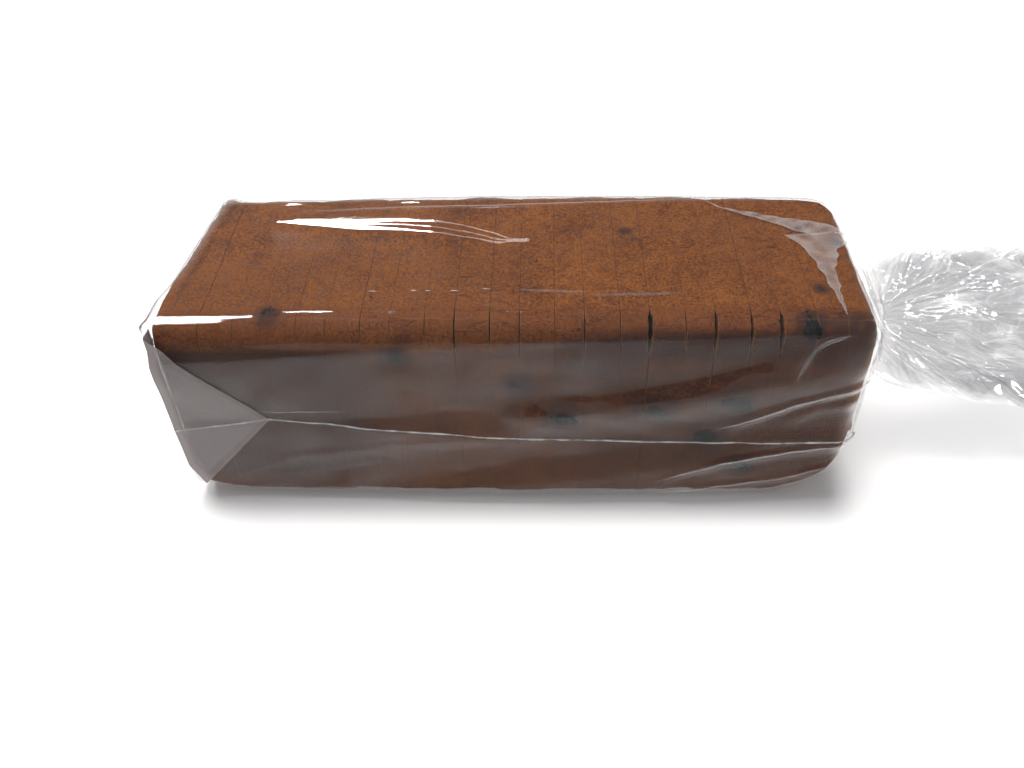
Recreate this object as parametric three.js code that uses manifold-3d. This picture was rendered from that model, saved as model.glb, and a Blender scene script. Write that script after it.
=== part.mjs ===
// A square, sliced tin loaf in a clear bag, lying on a table. Millimetres, +Z up.
// The bag is shut and full, so bag and bread are one closed solid: the square loaf with the cuts
// between its slices, the folded corners at the bag's closed end, the side seams, the gathered
// neck and the loose tail that fans out behind it. X runs along the loaf towards the neck,
// +Y away from the side with the nearer seam. The shapes below are laid out with x = 0 at the
// closed end of the bread, y = 0 at its near side and z = 0 on the table.
import * as THREE from 'three';
import Module from 'manifold-3d';
import { mergeVertices } from 'three/addons/utils/BufferGeometryUtils.js';
import { ConvexGeometry } from 'three/addons/geometries/ConvexGeometry.js';

const wasm = await Module();
wasm.setup();

// The loaf
const SLICE_PITCH = 12.5;
const BLADE_SHIFT = 1.1; // the slicer's two sets of blades cut thin and thick slices in turn
const CUTS = 21;
const FIRST_CUT = 18;
const LOAF_LENGTH = 280.5;
const LOAF_DEPTH = 96.5;
const LOAF_HEIGHT = 97.5;
const CROWN = 1.6; // how much higher the top stands at mid length
const BULGE = 1.2; // how far each side stands out there
const EDGE_ROUND = 10;
const CUT_DEPTH = 0.8;
const CUT_HALF_WIDTH = 0.9;

// The closed end of the bag, with its folded corners
const END_GAP = 2.5;
const END_LENGTH = 14; // over which the film's sharp corners reach the bread
const END_TOP_ROUND = 3;
const END_LOW_ROUND = 12;
const END_LIFT = 3;
const EAR_TIP = 37.5;
const EAR_TOP = 94;
const EAR_LOW = 10;
const EAR_STAND = 0.6;
const EAR_MID_STAND = 1.6;
const CREASE_DEPTH = 1.2;
const CREASE_HALF_WIDTH = 1.6;

// The side seams
const SEAM_AT_END = 44.5;
const SEAM_AT_EAR = 50;
const SEAM_AT_HEEL = 37;
const SEAM_DROP_LENGTH = 180;
const SEAM_BEND = 1.6;
const SEAM_HALF_WIDTH = 1;
const SEAM_STAND = 0.7;

// The round heel at the neck end: the radius of each edge of its end face
const HEEL_LOW_ROUND = 36;
const HEEL_TOP_ROUND = 9;
const HEEL_NEAR_ROUND = 10;
const HEEL_FAR_ROUND = 15;

// The gathered neck and the tail
const NECK = new THREE.Vector3(296, 52, 60);
const NECK_RADIUS = 8;
const NECK_LENGTH = 2.5;
const SHOULDER_FULLNESS = 1.35; // 1 is a straight cone, and more is a fuller dome
const PLEAT_COLUMNS = 4;
const SHOULDER_PLEAT = 1.6;
const NECK_TURN = THREE.MathUtils.degToRad(40);
const TAIL_LENGTH = 102;
const TAIL_HALF_WIDTH = 41;
const TAIL_FLARE = 0.3; // the tail springs open right behind the neck
const TAIL_HALF_THICKNESS = 6;
const TAIL_TILT = THREE.MathUtils.degToRad(35);
const TAIL_DROP = 16;
const TAIL_FAR_SHIFT = 5;
const TAIL_WAVES = 5;
const TAIL_WAVE_HEIGHT = 6;
const TAIL_SCALLOP = 5; // how far the mouth's edge comes and goes

// How finely the skin is divided
const CORNER_STEPS = 5;
const WALL_STEPS = 6;
const SHOULDER_RINGS = 6;
const TAIL_RINGS = 14;
const TAIL_RING_SPREAD = 1.7; // rings lie closer together near the neck

const mix = THREE.MathUtils.lerp;
const ease = THREE.MathUtils.smoothstep;

const cutAt = (j) => FIRST_CUT + SLICE_PITCH * j - (j % 2 === 0 ? BLADE_SHIFT : 0);

// Height of the side seam: it runs up to the tip of the folded corner, then sinks along the loaf.
function seamHeight(x) {
  if (x < EAR_TIP) {
    return mix(SEAM_AT_END, SEAM_AT_EAR, (x + END_GAP) / (EAR_TIP + END_GAP));
  }
  const along = Math.min((x - EAR_TIP) / SEAM_DROP_LENGTH, 1);
  return mix(SEAM_AT_EAR, SEAM_AT_HEEL, 1 - (1 - along) ** SEAM_BEND);
}

// How far an edge of the heel's end face has come in at x, along a circle of the given radius.
function heelInset(x, radius) {
  const past = Math.min(Math.max(x - (LOAF_LENGTH + 0.5 - radius), 0), radius);
  return radius - Math.sqrt(radius * radius - past * past);
}

// The box round the bread at x, with the roundness of its lower and upper edges.
function boundsAt(x) {
  const onBread = ease(x, -END_GAP, END_LENGTH);
  const across = (2 * x) / LOAF_LENGTH - 1;
  const middle = Math.max(1 - across * across, 0);
  return {
    near: heelInset(x, HEEL_NEAR_ROUND) - BULGE * middle,
    far: LOAF_DEPTH - heelInset(x, HEEL_FAR_ROUND) + BULGE * middle,
    low: mix(END_LIFT, 0, onBread) + heelInset(x, HEEL_LOW_ROUND),
    high: LOAF_HEIGHT + CROWN * middle - heelInset(x, HEEL_TOP_ROUND),
    lowRound: mix(END_LOW_ROUND, EDGE_ROUND, onBread),
    highRound: mix(END_TOP_ROUND, EDGE_ROUND, onBread),
  };
}

// Points of one corner's arc as [y, z], without its last point.
function cornerArc(y, z, radius, startAngle) {
  return Array.from({ length: CORNER_STEPS }, (_, k) => {
    const a = startAngle + (k / CORNER_STEPS) * (Math.PI / 2);
    return [y + radius * Math.cos(a), z + radius * Math.sin(a)];
  });
}

// Points of a straight wall from one z to another at a fixed y, with the seam's ridge standing
// out of it, without the wall's last point. out is -1 on the near side and 1 on the far side.
function seamedWall(y, from, to, seam, out) {
  const up = Math.sign(to - from);
  const before = seam - up * SEAM_HALF_WIDTH;
  const after = seam + up * SEAM_HALF_WIDTH;
  return [
    [y, from],
    [y, mix(from, before, 1 / 3)],
    [y, mix(from, before, 2 / 3)],
    [y, before],
    [y + out * SEAM_STAND, seam],
    [y, after],
    [y, mix(after, to, 1 / 3)],
    [y, mix(after, to, 2 / 3)],
  ];
}

// Points of a level wall from one y to another at a fixed z, without its last point.
function levelWall(z, from, to) {
  return Array.from({ length: WALL_STEPS }, (_, k) => [mix(from, to, k / WALL_STEPS), z]);
}

// The section of the filled bag at x as [y, z] points, counterclockwise as seen from +X,
// starting where the low wall meets the far lower corner.
function loafSection(x) {
  const b = boundsAt(x);
  const { lowRound: lr, highRound: hr } = b;
  const seam = seamHeight(x);
  return [
    ...cornerArc(b.far - lr, b.low + lr, lr, -Math.PI / 2),
    ...seamedWall(b.far, b.low + lr, b.high - hr, seam, 1),
    ...cornerArc(b.far - hr, b.high - hr, hr, 0),
    ...levelWall(b.high, b.far - hr, b.near + hr),
    ...cornerArc(b.near + hr, b.high - hr, hr, Math.PI / 2),
    ...seamedWall(b.near, b.high - hr, b.low + lr, seam, -1),
    ...cornerArc(b.near + lr, b.low + lr, lr, Math.PI),
    ...levelWall(b.low, b.near + lr, b.far - lr),
  ];
}

// A section drawn in by a fixed depth towards its own middle, for the bottom of a cut.
function drawnIn(section, depth) {
  const mid = section.reduce((m, p) => [m[0] + p[0] / section.length, m[1] + p[1] / section.length], [0, 0]);
  return section.map(([y, z]) => {
    const away = [y - mid[0], z - mid[1]];
    const reach = Math.max(Math.abs(away[0]), Math.abs(away[1]));
    return [y - (away[0] / reach) * depth, z - (away[1] / reach) * depth];
  });
}

const ringAt = (x, section) => section.map(([y, z]) => new THREE.Vector3(x, y, z));

// Rings of the loaf: the bag's closed end, each cut as a shallow groove, and the round heel.
function loafRings() {
  const rings = [-END_GAP, END_LENGTH / 3].map((x) => ringAt(x, loafSection(x)));
  for (let j = 0; j < CUTS; j++) {
    const x = cutAt(j);
    rings.push(ringAt(x - CUT_HALF_WIDTH, loafSection(x - CUT_HALF_WIDTH)));
    rings.push(ringAt(x, drawnIn(loafSection(x), CUT_DEPTH)));
    rings.push(ringAt(x + CUT_HALF_WIDTH, loafSection(x + CUT_HALF_WIDTH)));
  }
  for (const back of [10, 7, 4, 2, 0.5]) {
    rings.push(ringAt(LOAF_LENGTH - back, loafSection(LOAF_LENGTH - back)));
  }
  return rings;
}

// Angle in the section's plane of column i on the neck and the tail.
const columnAngle = (i, count) => ((i - CORNER_STEPS / 2) / count - 1 / 8) * 2 * Math.PI;

// 1, 0, -1, 0 round the columns: the crests and valleys of the gathered film.
const pleat = (i) => Math.cos((i / PLEAT_COLUMNS) * 2 * Math.PI);

// Rings from the heel's rim to the neck: a dome of film over the heel's end, with pleats that
// grow towards the neck.
function shoulderRings(rim) {
  const rings = [];
  for (let k = 1; k <= SHOULDER_RINGS; k++) {
    const along = k / SHOULDER_RINGS;
    const spread = 1 - along ** SHOULDER_FULLNESS;
    rings.push(rim.map((p, i) => {
      const a = columnAngle(i, rim.length) + NECK_TURN * along * along;
      const lift = SHOULDER_PLEAT * pleat(i) * Math.min(2 * along, 1);
      const out = new THREE.Vector2(Math.cos(a), Math.sin(a));
      return new THREE.Vector3(
        mix(p.x, NECK.x, along),
        mix(NECK.y + NECK_RADIUS * out.x, p.y, spread) + lift * out.x,
        mix(NECK.z + NECK_RADIUS * out.y, p.z, spread) + lift * out.y,
      );
    }));
  }
  return rings;
}

// Rings of the tail: a flattened fan whose plane is tilted by TAIL_TILT, waved from edge to edge,
// sinking a little towards its mouth.
function tailRings(count) {
  const rings = [];
  const wide = new THREE.Vector2(Math.cos(TAIL_TILT), Math.sin(TAIL_TILT));
  const thick = new THREE.Vector2(-wide.y, wide.x);
  for (let k = 0; k <= TAIL_RINGS; k++) {
    const t = (k / TAIL_RINGS) ** TAIL_RING_SPREAD;
    const halfWidth = mix(NECK_RADIUS, TAIL_HALF_WIDTH, t ** TAIL_FLARE);
    const halfThickness = mix(NECK_RADIUS, TAIL_HALF_THICKNESS, ease(t, 0, 0.4));
    rings.push(Array.from({ length: count }, (_, i) => {
      const a = columnAngle(i, count) + NECK_TURN - TAIL_TILT;
      const side = Math.cos(a);
      const wave = TAIL_WAVE_HEIGHT * t * Math.sin(side * TAIL_WAVES * Math.PI + 2 * t);
      const crest = SHOULDER_PLEAT * pleat(i);
      const w = (halfWidth + crest) * side;
      const h = (halfThickness + crest) * Math.sin(a) + wave;
      const scallop = TAIL_SCALLOP * t * Math.cos(side * TAIL_WAVES * 2.2);
      return new THREE.Vector3(
        NECK.x + NECK_LENGTH + TAIL_LENGTH * t + scallop,
        NECK.y + TAIL_FAR_SHIFT * t + w * wide.x + h * thick.x,
        NECK.z - TAIL_DROP * t * t + w * wide.y + h * thick.y,
      );
    }));
  }
  return rings;
}

// A closed skin over the rings, each end shut by a fan round its middle.
function skin(rings) {
  const count = rings[0].length;
  const points = rings.flat();
  const middle = (ring) => ring.reduce((m, p) => m.addScaledVector(p, 1 / count), new THREE.Vector3());
  const first = points.push(middle(rings[0])) - 1;
  const last = points.push(middle(rings[rings.length - 1])) - 1;
  const faces = [];
  for (let i = 0; i < count; i++) {
    const next = (i + 1) % count;
    faces.push(first, next, i);
    for (let r = 0; r + 1 < rings.length; r++) {
      const here = r * count;
      const there = here + count;
      faces.push(here + i, here + next, there + next, here + i, there + next, there + i);
    }
    const rim = (rings.length - 1) * count;
    faces.push(last, rim + i, rim + next);
  }
  const geometry = new THREE.BufferGeometry().setFromPoints(points);
  geometry.setIndex(faces);
  return geometry;
}

// The flat folded corner on one side of the closed end, as a thin wedge on the loaf's side: two
// facets that meet along the seam. y is the side's plane and out points away from the bread.
function foldedCorner(y, out) {
  const end = -END_GAP;
  const sideBulge = -boundsAt(EAR_TIP).near;
  const outline = [
    [EAR_TIP, SEAM_AT_EAR, sideBulge + EAR_STAND / 2],
    [end, EAR_TOP, EAR_STAND],
    [end - 1, SEAM_AT_END, EAR_MID_STAND],
    [end, EAR_LOW, EAR_STAND],
  ];
  const depth = END_GAP;
  const points = outline.flatMap(([x, z, stand]) => [
    new THREE.Vector3(x, y + out * stand, z),
    new THREE.Vector3(x, y - out * depth, z),
  ]);
  return new ConvexGeometry(points);
}

// The crease that crosses the bag's closed end from seam to seam, as a bar to cut with.
function endCrease() {
  const groove = new THREE.Shape([
    new THREE.Vector2(-CREASE_DEPTH, 0),
    new THREE.Vector2(CREASE_DEPTH, -CREASE_HALF_WIDTH * 2),
    new THREE.Vector2(CREASE_DEPTH, CREASE_HALF_WIDTH * 2),
  ]);
  const margin = 10;
  const bar = new THREE.ExtrudeGeometry(groove, { depth: LOAF_DEPTH + 2 * margin, bevelEnabled: false });
  bar.rotateX(Math.PI / 2); // the groove's own x and y become -x and z below
  bar.rotateZ(Math.PI);
  bar.translate(-END_GAP, -margin, SEAM_AT_END);
  return bar;
}

function toManifold(geometry) {
  const bare = geometry.clone();
  bare.deleteAttribute('normal');
  bare.deleteAttribute('uv');
  const merged = mergeVertices(bare, 1e-4);
  return new wasm.Manifold(new wasm.Mesh({
    numProp: 3,
    vertProperties: new Float32Array(merged.attributes.position.array),
    triVerts: new Uint32Array(merged.index.array),
  }));
}

function toGeometry(solid) {
  const mesh = solid.getMesh();
  const geometry = new THREE.BufferGeometry();
  geometry.setAttribute('position', new THREE.BufferAttribute(mesh.vertProperties, 3));
  geometry.setIndex(new THREE.BufferAttribute(mesh.triVerts, 1));
  return geometry;
}

function baggedLoaf() {
  const rings = loafRings();
  rings.push(...shoulderRings(rings[rings.length - 1]));
  rings.push(...tailRings(rings[0].length));
  const solid = toManifold(skin(rings))
    .add(toManifold(foldedCorner(0, -1)))
    .add(toManifold(foldedCorner(LOAF_DEPTH, 1)))
    .subtract(toManifold(endCrease()));
  const geometry = toGeometry(solid);
  // The origin is below the middle of the whole bag, on the table.
  geometry.computeBoundingBox();
  const middle = geometry.boundingBox.getCenter(new THREE.Vector3());
  geometry.translate(-middle.x, -middle.y, -geometry.boundingBox.min.z);
  geometry.computeVertexNormals();
  const crust = new THREE.MeshStandardMaterial({ color: 0x7a4526, roughness: 0.4, metalness: 0 });
  const mesh = new THREE.Mesh(geometry, crust);
  mesh.name = 'bagged_loaf';
  return mesh;
}

const group = new THREE.Group();
group.name = 'loaf_in_bread_bag';
group.add(baggedLoaf());

export default group;
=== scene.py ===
# %% [markdown]
# # A sliced fruit loaf in a clear bag
#
# The object is a square tin loaf, cut into slices that still stand together, in a thin clear bag.
# The packed solid knows only the outer form. Here it is taken apart into what the eye sees: slices
# with a crust, dried fruit in that crust, and a film with folds, welds and a gathered tail.
#
# Everything is laid out in millimetres from one corner of the bread and moved into the row frame
# at the end, because real sizes such as "a slice is 12.5 mm" are easier to read than metres.

# %% Load the frame
import math

import bpy
import numpy as np
from mathutils import Matrix, Vector


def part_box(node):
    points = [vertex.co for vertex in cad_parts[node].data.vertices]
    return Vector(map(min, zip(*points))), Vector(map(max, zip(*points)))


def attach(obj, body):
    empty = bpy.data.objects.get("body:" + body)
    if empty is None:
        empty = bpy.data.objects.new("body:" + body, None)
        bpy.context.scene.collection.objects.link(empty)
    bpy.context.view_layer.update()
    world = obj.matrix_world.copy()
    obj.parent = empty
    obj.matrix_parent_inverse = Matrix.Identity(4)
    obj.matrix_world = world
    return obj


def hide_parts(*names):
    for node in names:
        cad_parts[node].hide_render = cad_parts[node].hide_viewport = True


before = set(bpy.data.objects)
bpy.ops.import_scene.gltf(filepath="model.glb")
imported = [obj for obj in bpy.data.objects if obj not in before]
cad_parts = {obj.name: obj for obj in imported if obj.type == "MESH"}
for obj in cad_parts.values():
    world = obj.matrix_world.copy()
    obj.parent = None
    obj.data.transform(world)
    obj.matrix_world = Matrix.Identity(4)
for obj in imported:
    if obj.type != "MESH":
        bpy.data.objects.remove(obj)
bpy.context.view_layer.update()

# %% [markdown]
# ## The bag's own sizes
#
# These are the sizes of the packed solid, so that film and bread follow the same form. x runs along
# the loaf from its closed end, y from the near side to the far side, and z up from the table.

# %% Driving sizes
LOAF_LENGTH, LOAF_DEPTH, LOAF_HEIGHT = 280.5, 96.5, 97.5
CROWN, BULGE, EDGE_ROUND = 1.6, 1.2, 10.0
SLICE_PITCH, BLADE_SHIFT, CUTS, FIRST_CUT = 12.5, 1.1, 21, 18.0
END_GAP, END_LENGTH, END_LIFT = 2.5, 14.0, 3.0
END_TOP_ROUND, END_LOW_ROUND = 3.0, 12.0
EAR_TIP, EAR_TOP, EAR_LOW = 37.5, 94.0, 10.0
SEAM_AT_END, SEAM_AT_EAR, SEAM_AT_HEEL = 44.5, 50.0, 37.0
SEAM_DROP_LENGTH, SEAM_BEND, SEAM_STAND = 180.0, 1.6, 0.7
HEEL_LOW_ROUND, HEEL_TOP_ROUND, HEEL_NEAR_ROUND, HEEL_FAR_ROUND = 36.0, 9.0, 10.0, 15.0
NECK = np.array([296.0, 52.0, 60.0])
NECK_RADIUS, NECK_LENGTH, SHOULDER_FULLNESS = 8.0, 2.5, 1.35
NECK_TURN = math.radians(40)
TAIL_LENGTH, TAIL_HALF_WIDTH, TAIL_HALF_THICKNESS = 102.0, 41.0, 6.0
TAIL_TILT = math.radians(35)
TAIL_DROP, TAIL_FAR_SHIFT = 16.0, 5.0

solid_low, solid_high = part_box("bagged_loaf")
END_MIDDLE_STAND = 1.0  # the folded corner's middle stands this far past the closed end
LAYOUT_ORIGIN = np.array([
    solid_low.x * 1000 + END_GAP + END_MIDDLE_STAND,
    solid_low.y * 1000 + BULGE + SEAM_STAND,
    solid_low.z * 1000,
])


def to_frame(points):
    """Points in layout millimetres, as metres in the row frame: add the origin, then divide by 1000."""
    return (np.asarray(points, float) + LAYOUT_ORIGIN) / 1000


print("layout origin in the row frame, mm:", LAYOUT_ORIGIN.round(2))

# %% [markdown]
# ## Camera
#
# A camera was fitted to the slice lines of the picture: it stands in front of the loaf, a little
# right of its closed end, and looks down at about 43 degrees.

# %% Camera
CAMERA_AT = np.array([151.4, -279.7, 329.0])
PITCH, YAW, ROLL = math.radians(42.87), math.radians(-2.62), math.radians(-1.81)
FOCAL_PIXELS, PICTURE_WIDTH, SENSOR = 958.0, 1024, 36.0
NEAREST_SEEN = 0.01

forward = Vector((math.sin(YAW) * math.cos(PITCH), math.cos(YAW) * math.cos(PITCH), -math.sin(PITCH)))
level_right = Vector((math.cos(YAW), -math.sin(YAW), 0))
level_up = level_right.cross(forward)
camera_x = math.cos(ROLL) * level_right + math.sin(ROLL) * level_up
camera_y = -math.sin(ROLL) * level_right + math.cos(ROLL) * level_up

camera_data = bpy.data.cameras.new("camera")
camera_data.sensor_width = SENSOR
camera_data.lens = SENSOR * FOCAL_PIXELS / PICTURE_WIDTH
camera_data.clip_start = NEAREST_SEEN
camera = bpy.data.objects.new("camera", camera_data)
bpy.context.scene.collection.objects.link(camera)
camera.matrix_world = Matrix.Translation(Vector(to_frame(CAMERA_AT))) @ Matrix((
    camera_x, camera_y, -forward)).transposed().to_4x4()
bpy.context.scene.camera = camera
print("lens", round(camera_data.lens, 2), "mm")

# %% [markdown]
# ## Node trees
#
# A finish in Blender is a tree of small nodes, each linked to the next. Made by hand, every node
# takes a line for itself and one for each of its inputs, so this small helper adds a node, sets its
# values and links its inputs in one call.

# %% Node helper
class Tree:
    """The emptied node tree of a material or of the room, with its output."""

    def __init__(self, owner, output="OutputMaterial"):
        owner.use_nodes = True
        self.nodes, self.links = owner.node_tree.nodes, owner.node_tree.links
        self.nodes.clear()
        self.output = self.nodes.new("ShaderNode" + output)

    def add(self, kind, inputs=(), **settings):
        """A node with its settings. Each input is linked to a socket or set to a plain value."""
        node = self.nodes.new("ShaderNode" + kind)
        for key, value in settings.items():
            setattr(node, key, value)
        for key, value in dict(inputs).items():
            if isinstance(value, bpy.types.NodeSocket):
                self.links.new(value, node.inputs[key])
            else:
                node.inputs[key].default_value = value
        return node

    def place(self):
        """Where a point lies on its object."""
        return self.add("TexCoord").outputs["Object"]

    def on_points(self, name):
        """The per-point number of that name."""
        return self.add("Attribute", attribute_name=name).outputs["Fac"]

    def noise(self, vector, scale, detail, roughness=0.55):
        """Grey noise with about `scale` grains to the metre."""
        inputs = {"Vector": vector, "Scale": scale, "Detail": detail, "Roughness": roughness}
        return self.add("TexNoise", inputs).outputs["Fac"]

    def ranged(self, value, low, high, to_low=0.0, to_high=1.0):
        """value between low and high, spread in an S-shaped rise onto to_low..to_high."""
        inputs = {"Value": value, "From Min": low, "From Max": high, "To Min": to_low, "To Max": to_high}
        return self.add("MapRange", inputs, interpolation_type="SMOOTHSTEP").outputs["Result"]

    def mixed(self, share, first, second):
        """Colour first, turned into second by share. Each may be a socket or a plain colour."""
        return self.add("Mix", {0: share, 6: first, 7: second}, data_type="RGBA").outputs[2]

    def math(self, operation, *values):
        """A math node on one to three values, each a socket or a number."""
        return self.add("Math", dict(enumerate(values)), operation=operation).outputs[0]

    def blended(self, share, first, second):
        """Shader first, turned into second by share."""
        return self.add("MixShader", {0: share, 1: first.outputs[0], 2: second.outputs[0]})

    def shown(self, shader):
        """Links the shader to the output."""
        self.links.new(shader.outputs[0], self.output.inputs["Surface"])


print("a tree can add:", [name for name in vars(Tree) if not name.startswith("__")])

# %% [markdown]
# ## Floor
#
# The loaf lies on a white table. Its floor glows with painted light: a little everywhere, and more
# away from the loaf's foot, which paints out most of its shadow and leaves a soft one only close to it.

# %% Floor
FLOOR_FRONT, FLOOR_SIDE, FLOOR_BACK = -0.42, 1.5, 1.6
FLOOR_WHITE, FLOOR_GLOW = 0.80, 0.11
OPEN_GLOW, GLOW_FROM, GLOW_TO = 0.30, 0.003, 0.021  # the glow off the foot, and where it rises, in m
FOOT_MIDDLE, FOOT_HALF = [136, 48, 0], (0.136, 0.047, 1.0)

floor_mesh = bpy.data.meshes.new("floor")
floor_mesh.from_pydata(
    [(-FLOOR_SIDE, FLOOR_FRONT, 0), (FLOOR_SIDE, FLOOR_FRONT, 0), (FLOOR_SIDE, FLOOR_BACK, 0),
     (-FLOOR_SIDE, FLOOR_BACK, 0)], [], [(0, 1, 2, 3)])
floor = bpy.data.objects.new("floor", floor_mesh)
bpy.context.scene.collection.objects.link(floor)
floor_material = bpy.data.materials.new("white_table")
tree = Tree(floor_material)
paint = tree.add("BsdfDiffuse", {"Color": (FLOOR_WHITE, FLOOR_WHITE, FLOOR_WHITE, 1)})
off_foot = tree.place()  # becomes the distance from the loaf's foot: the length of the part outside it
for operation, amount in (("SUBTRACT", {1: tuple(to_frame(FOOT_MIDDLE))}), ("ABSOLUTE", {}),
                          ("SUBTRACT", {1: FOOT_HALF}), ("MAXIMUM", {1: (0, 0, 0)}), ("LENGTH", {})):
    step = tree.add("VectorMath", {0: off_foot, **amount}, operation=operation)
    off_foot = step.outputs["Value" if operation == "LENGTH" else "Vector"]
# painted light: the floor's glow rises with the distance from the foot and fills in the shadow there
strength = tree.ranged(off_foot, GLOW_FROM, GLOW_TO, FLOOR_GLOW, FLOOR_GLOW + OPEN_GLOW)
glow = tree.add("Emission", {"Strength": strength})
tree.shown(tree.add("AddShader", {0: paint.outputs[0], 1: glow.outputs[0]}))
floor_mesh.materials.append(floor_material)
print("floor", 2 * FLOOR_SIDE, "by", FLOOR_BACK - FLOOR_FRONT, "m")

# %% [markdown]
# ## Light
#
# One wide sun overhead lights bread and table, and isn't mirrored. Clear film shows what it
# mirrors, so the room and a few bright panels matter more: the white table gives part of the grey
# veil on the upright side, painted reflection haze on the film gives the rest, and the dim room above
# the horizon keeps the top clear. The panels light nothing.
# They are only there to be seen in the film: a window for the long white streak, a small one for the
# glint on the closed end's near edge, a faint one for that edge's sheen, and four for the tail alone.
#
# A mirror in the top film tells where the window has to stand: the camera is mirrored in the plane
# of the top, and a ray from there through the streak ends on it.

# %% Lights
TOP_FILM_HEIGHT = 99.0
STREAK_LEFT, STREAK_MIDDLE, STREAK_RIGHT = (28.0, 73.0), (101.0, 65.0), (145.0, 60.0)
STREAK_WIDTH = 15.6
MIRROR_REACH = 5.0


def add_light(name, kind, place, aim, energy, mirrored, along=(1, 0, 0), **settings):
    """A light at place that shines towards aim, both in layout mm, with its long side along. A
    mirrored light is only there to be seen in the film, and any other one lights all the rest."""
    data = bpy.data.lights.new(name, kind)
    data.energy = energy
    for key, value in settings.items():
        setattr(data, key, value)
    light = bpy.data.objects.new(name, data)
    bpy.context.scene.collection.objects.link(light)
    start, end = Vector(to_frame(place)), Vector(to_frame(aim))
    back = (start - end).normalized()
    long_side = Vector(along)
    long_side = (long_side - back * long_side.dot(back)).normalized()
    turn = Matrix((long_side, back.cross(long_side), back)).transposed()
    light.matrix_world = Matrix.Translation(start) @ turn.to_4x4()
    light.visible_camera = False
    light.visible_diffuse = not mirrored
    light.visible_glossy = mirrored
    return light


def add_panel(name, place, aim, size, radiance, along=(1, 0, 0)):
    """A bright panel for the film to mirror. Its power is its radiance times pi times its area."""
    area = size[0] * size[1] / 1e6
    return add_light(name, "AREA", place, aim, radiance * math.pi * area, True, along,
                     shape="RECTANGLE", size=size[0] / 1000, size_y=size[1] / 1000)


LOAF_MIDDLE = np.array([LOAF_LENGTH / 2, LOAF_DEPTH / 2, LOAF_HEIGHT / 2])
SUN_FROM = np.array([-0.18, 0.15, 1.0])
SUN_STRENGTH, SUN_DISC = 3.35, 30
add_light("overhead_sun", "SUN", LOAF_MIDDLE + 1000 * SUN_FROM, LOAF_MIDDLE, SUN_STRENGTH, False,
          angle=math.radians(SUN_DISC), color=(1.0, 0.985, 0.96))

GLINT_AT, SHEEN_AT, TAIL_MIDDLE = np.array([12, 3, 98]), np.array([76, 2, 96]), np.array([350, 52, 55])
GLINT_FAR, PANEL_FAR = 1800, 1500
add_panel("corner_glint", GLINT_AT + GLINT_FAR * np.array([-0.377, 0.402, 0.851]), GLINT_AT,
          (215, 260), 125)
add_panel("edge_sheen", SHEEN_AT + PANEL_FAR * np.array([-0.20, 0.18, 0.965]), SHEEN_AT,
          (500, 300), 0.5)

TAIL_RADIANCE = 60
TAIL_PANELS = (  # direction from the tail and size
    ((0.45, 0.68, 0.58), (360, 180)), ((0.62, 0.10, 0.78), (180, 300)),
    ((-0.15, 0.62, 0.77), (220, 160)), ((-0.55, 0.45, 0.70), (160, 160)),
)
tail_lit = bpy.data.collections.new("tail_lit")  # takes the two tail sheets, once they are made
for number, (way, size) in enumerate(TAIL_PANELS):
    panel = add_panel(f"tail_panel_{number}", TAIL_MIDDLE + PANEL_FAR * np.array(way), TAIL_MIDDLE,
                      size, TAIL_RADIANCE)
    panel.light_linking.receiver_collection = tail_lit

STREAK_SLANT = 0.53  # the streak is seen at a slant, so the window is lower than it looks
mirrored_camera = CAMERA_AT * [1, 1, -1] + [0, 0, 2 * TOP_FILM_HEIGHT]
window_height = MIRROR_REACH * STREAK_WIDTH * STREAK_SLANT
for name, ends, radiance in (("window", (STREAK_LEFT, STREAK_MIDDLE), 90.0),
                             ("window_end", (STREAK_MIDDLE, STREAK_RIGHT), 6.5)):
    seen = [np.array([x, y, TOP_FILM_HEIGHT]) for x, y in ends]
    place = [mirrored_camera + MIRROR_REACH * (p - mirrored_camera) for p in seen]
    length = np.linalg.norm(place[1] - place[0])
    add_panel(name, (place[0] + place[1]) / 2, (seen[0] + seen[1]) / 2, (length, window_height),
              radiance, along=place[1] - place[0])
    print(name, "is", round(length), "by", round(window_height), "mm")

# %% Room
ROOM_LOW, ROOM_MIDDLE, ROOM_HIGH = (0.16, 0.15, 0.15, 1), (0.2, 0.2, 0.21, 1), (0.5, 0.51, 0.54, 1)
MIDDLE_UP = 0.6  # how far up the room has its middle tone
FILM_LAYERS = 64  # clear surfaces that a ray may pass

world = bpy.data.worlds.new("room")
bpy.context.scene.world = world
tree = Tree(world, "OutputWorld")
up = tree.add("SeparateXYZ", {0: tree.add("TexCoord").outputs["Generated"]}).outputs["Z"]
ramp = tree.add("ValToRGB", {0: up})
for element, tone in zip(ramp.color_ramp.elements, (ROOM_LOW, ROOM_HIGH)):
    element.color = tone
ramp.color_ramp.elements.new(MIDDLE_UP).color = ROOM_MIDDLE
lit_room = tree.add("Background", {0: ramp.outputs[0]})
seen_room = tree.add("Background", {0: (1.0, 1.0, 1.0, 1)})
tree.shown(tree.blended(tree.add("LightPath").outputs["Is Camera Ray"], lit_room, seen_room))

scene = bpy.context.scene
scene.view_settings.view_transform = "Standard"
scene.cycles.transparent_max_bounces = FILM_LAYERS
scene.cycles.caustics_reflective = False
scene.cycles.caustics_refractive = False

# %% [markdown]
# ## Helpers: random waves and grid surfaces
#
# Baked dough and slack film are never flat. Both get their unevenness from sums of waves in random
# directions: smooth sines for dough, and triangle waves, which have sharp ridges, for crumpled
# film. Every draw is seeded, so each run gives the same loaf.
#
# A surface is an array of points in rows and columns. One helper turns such an array into a mesh.

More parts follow.
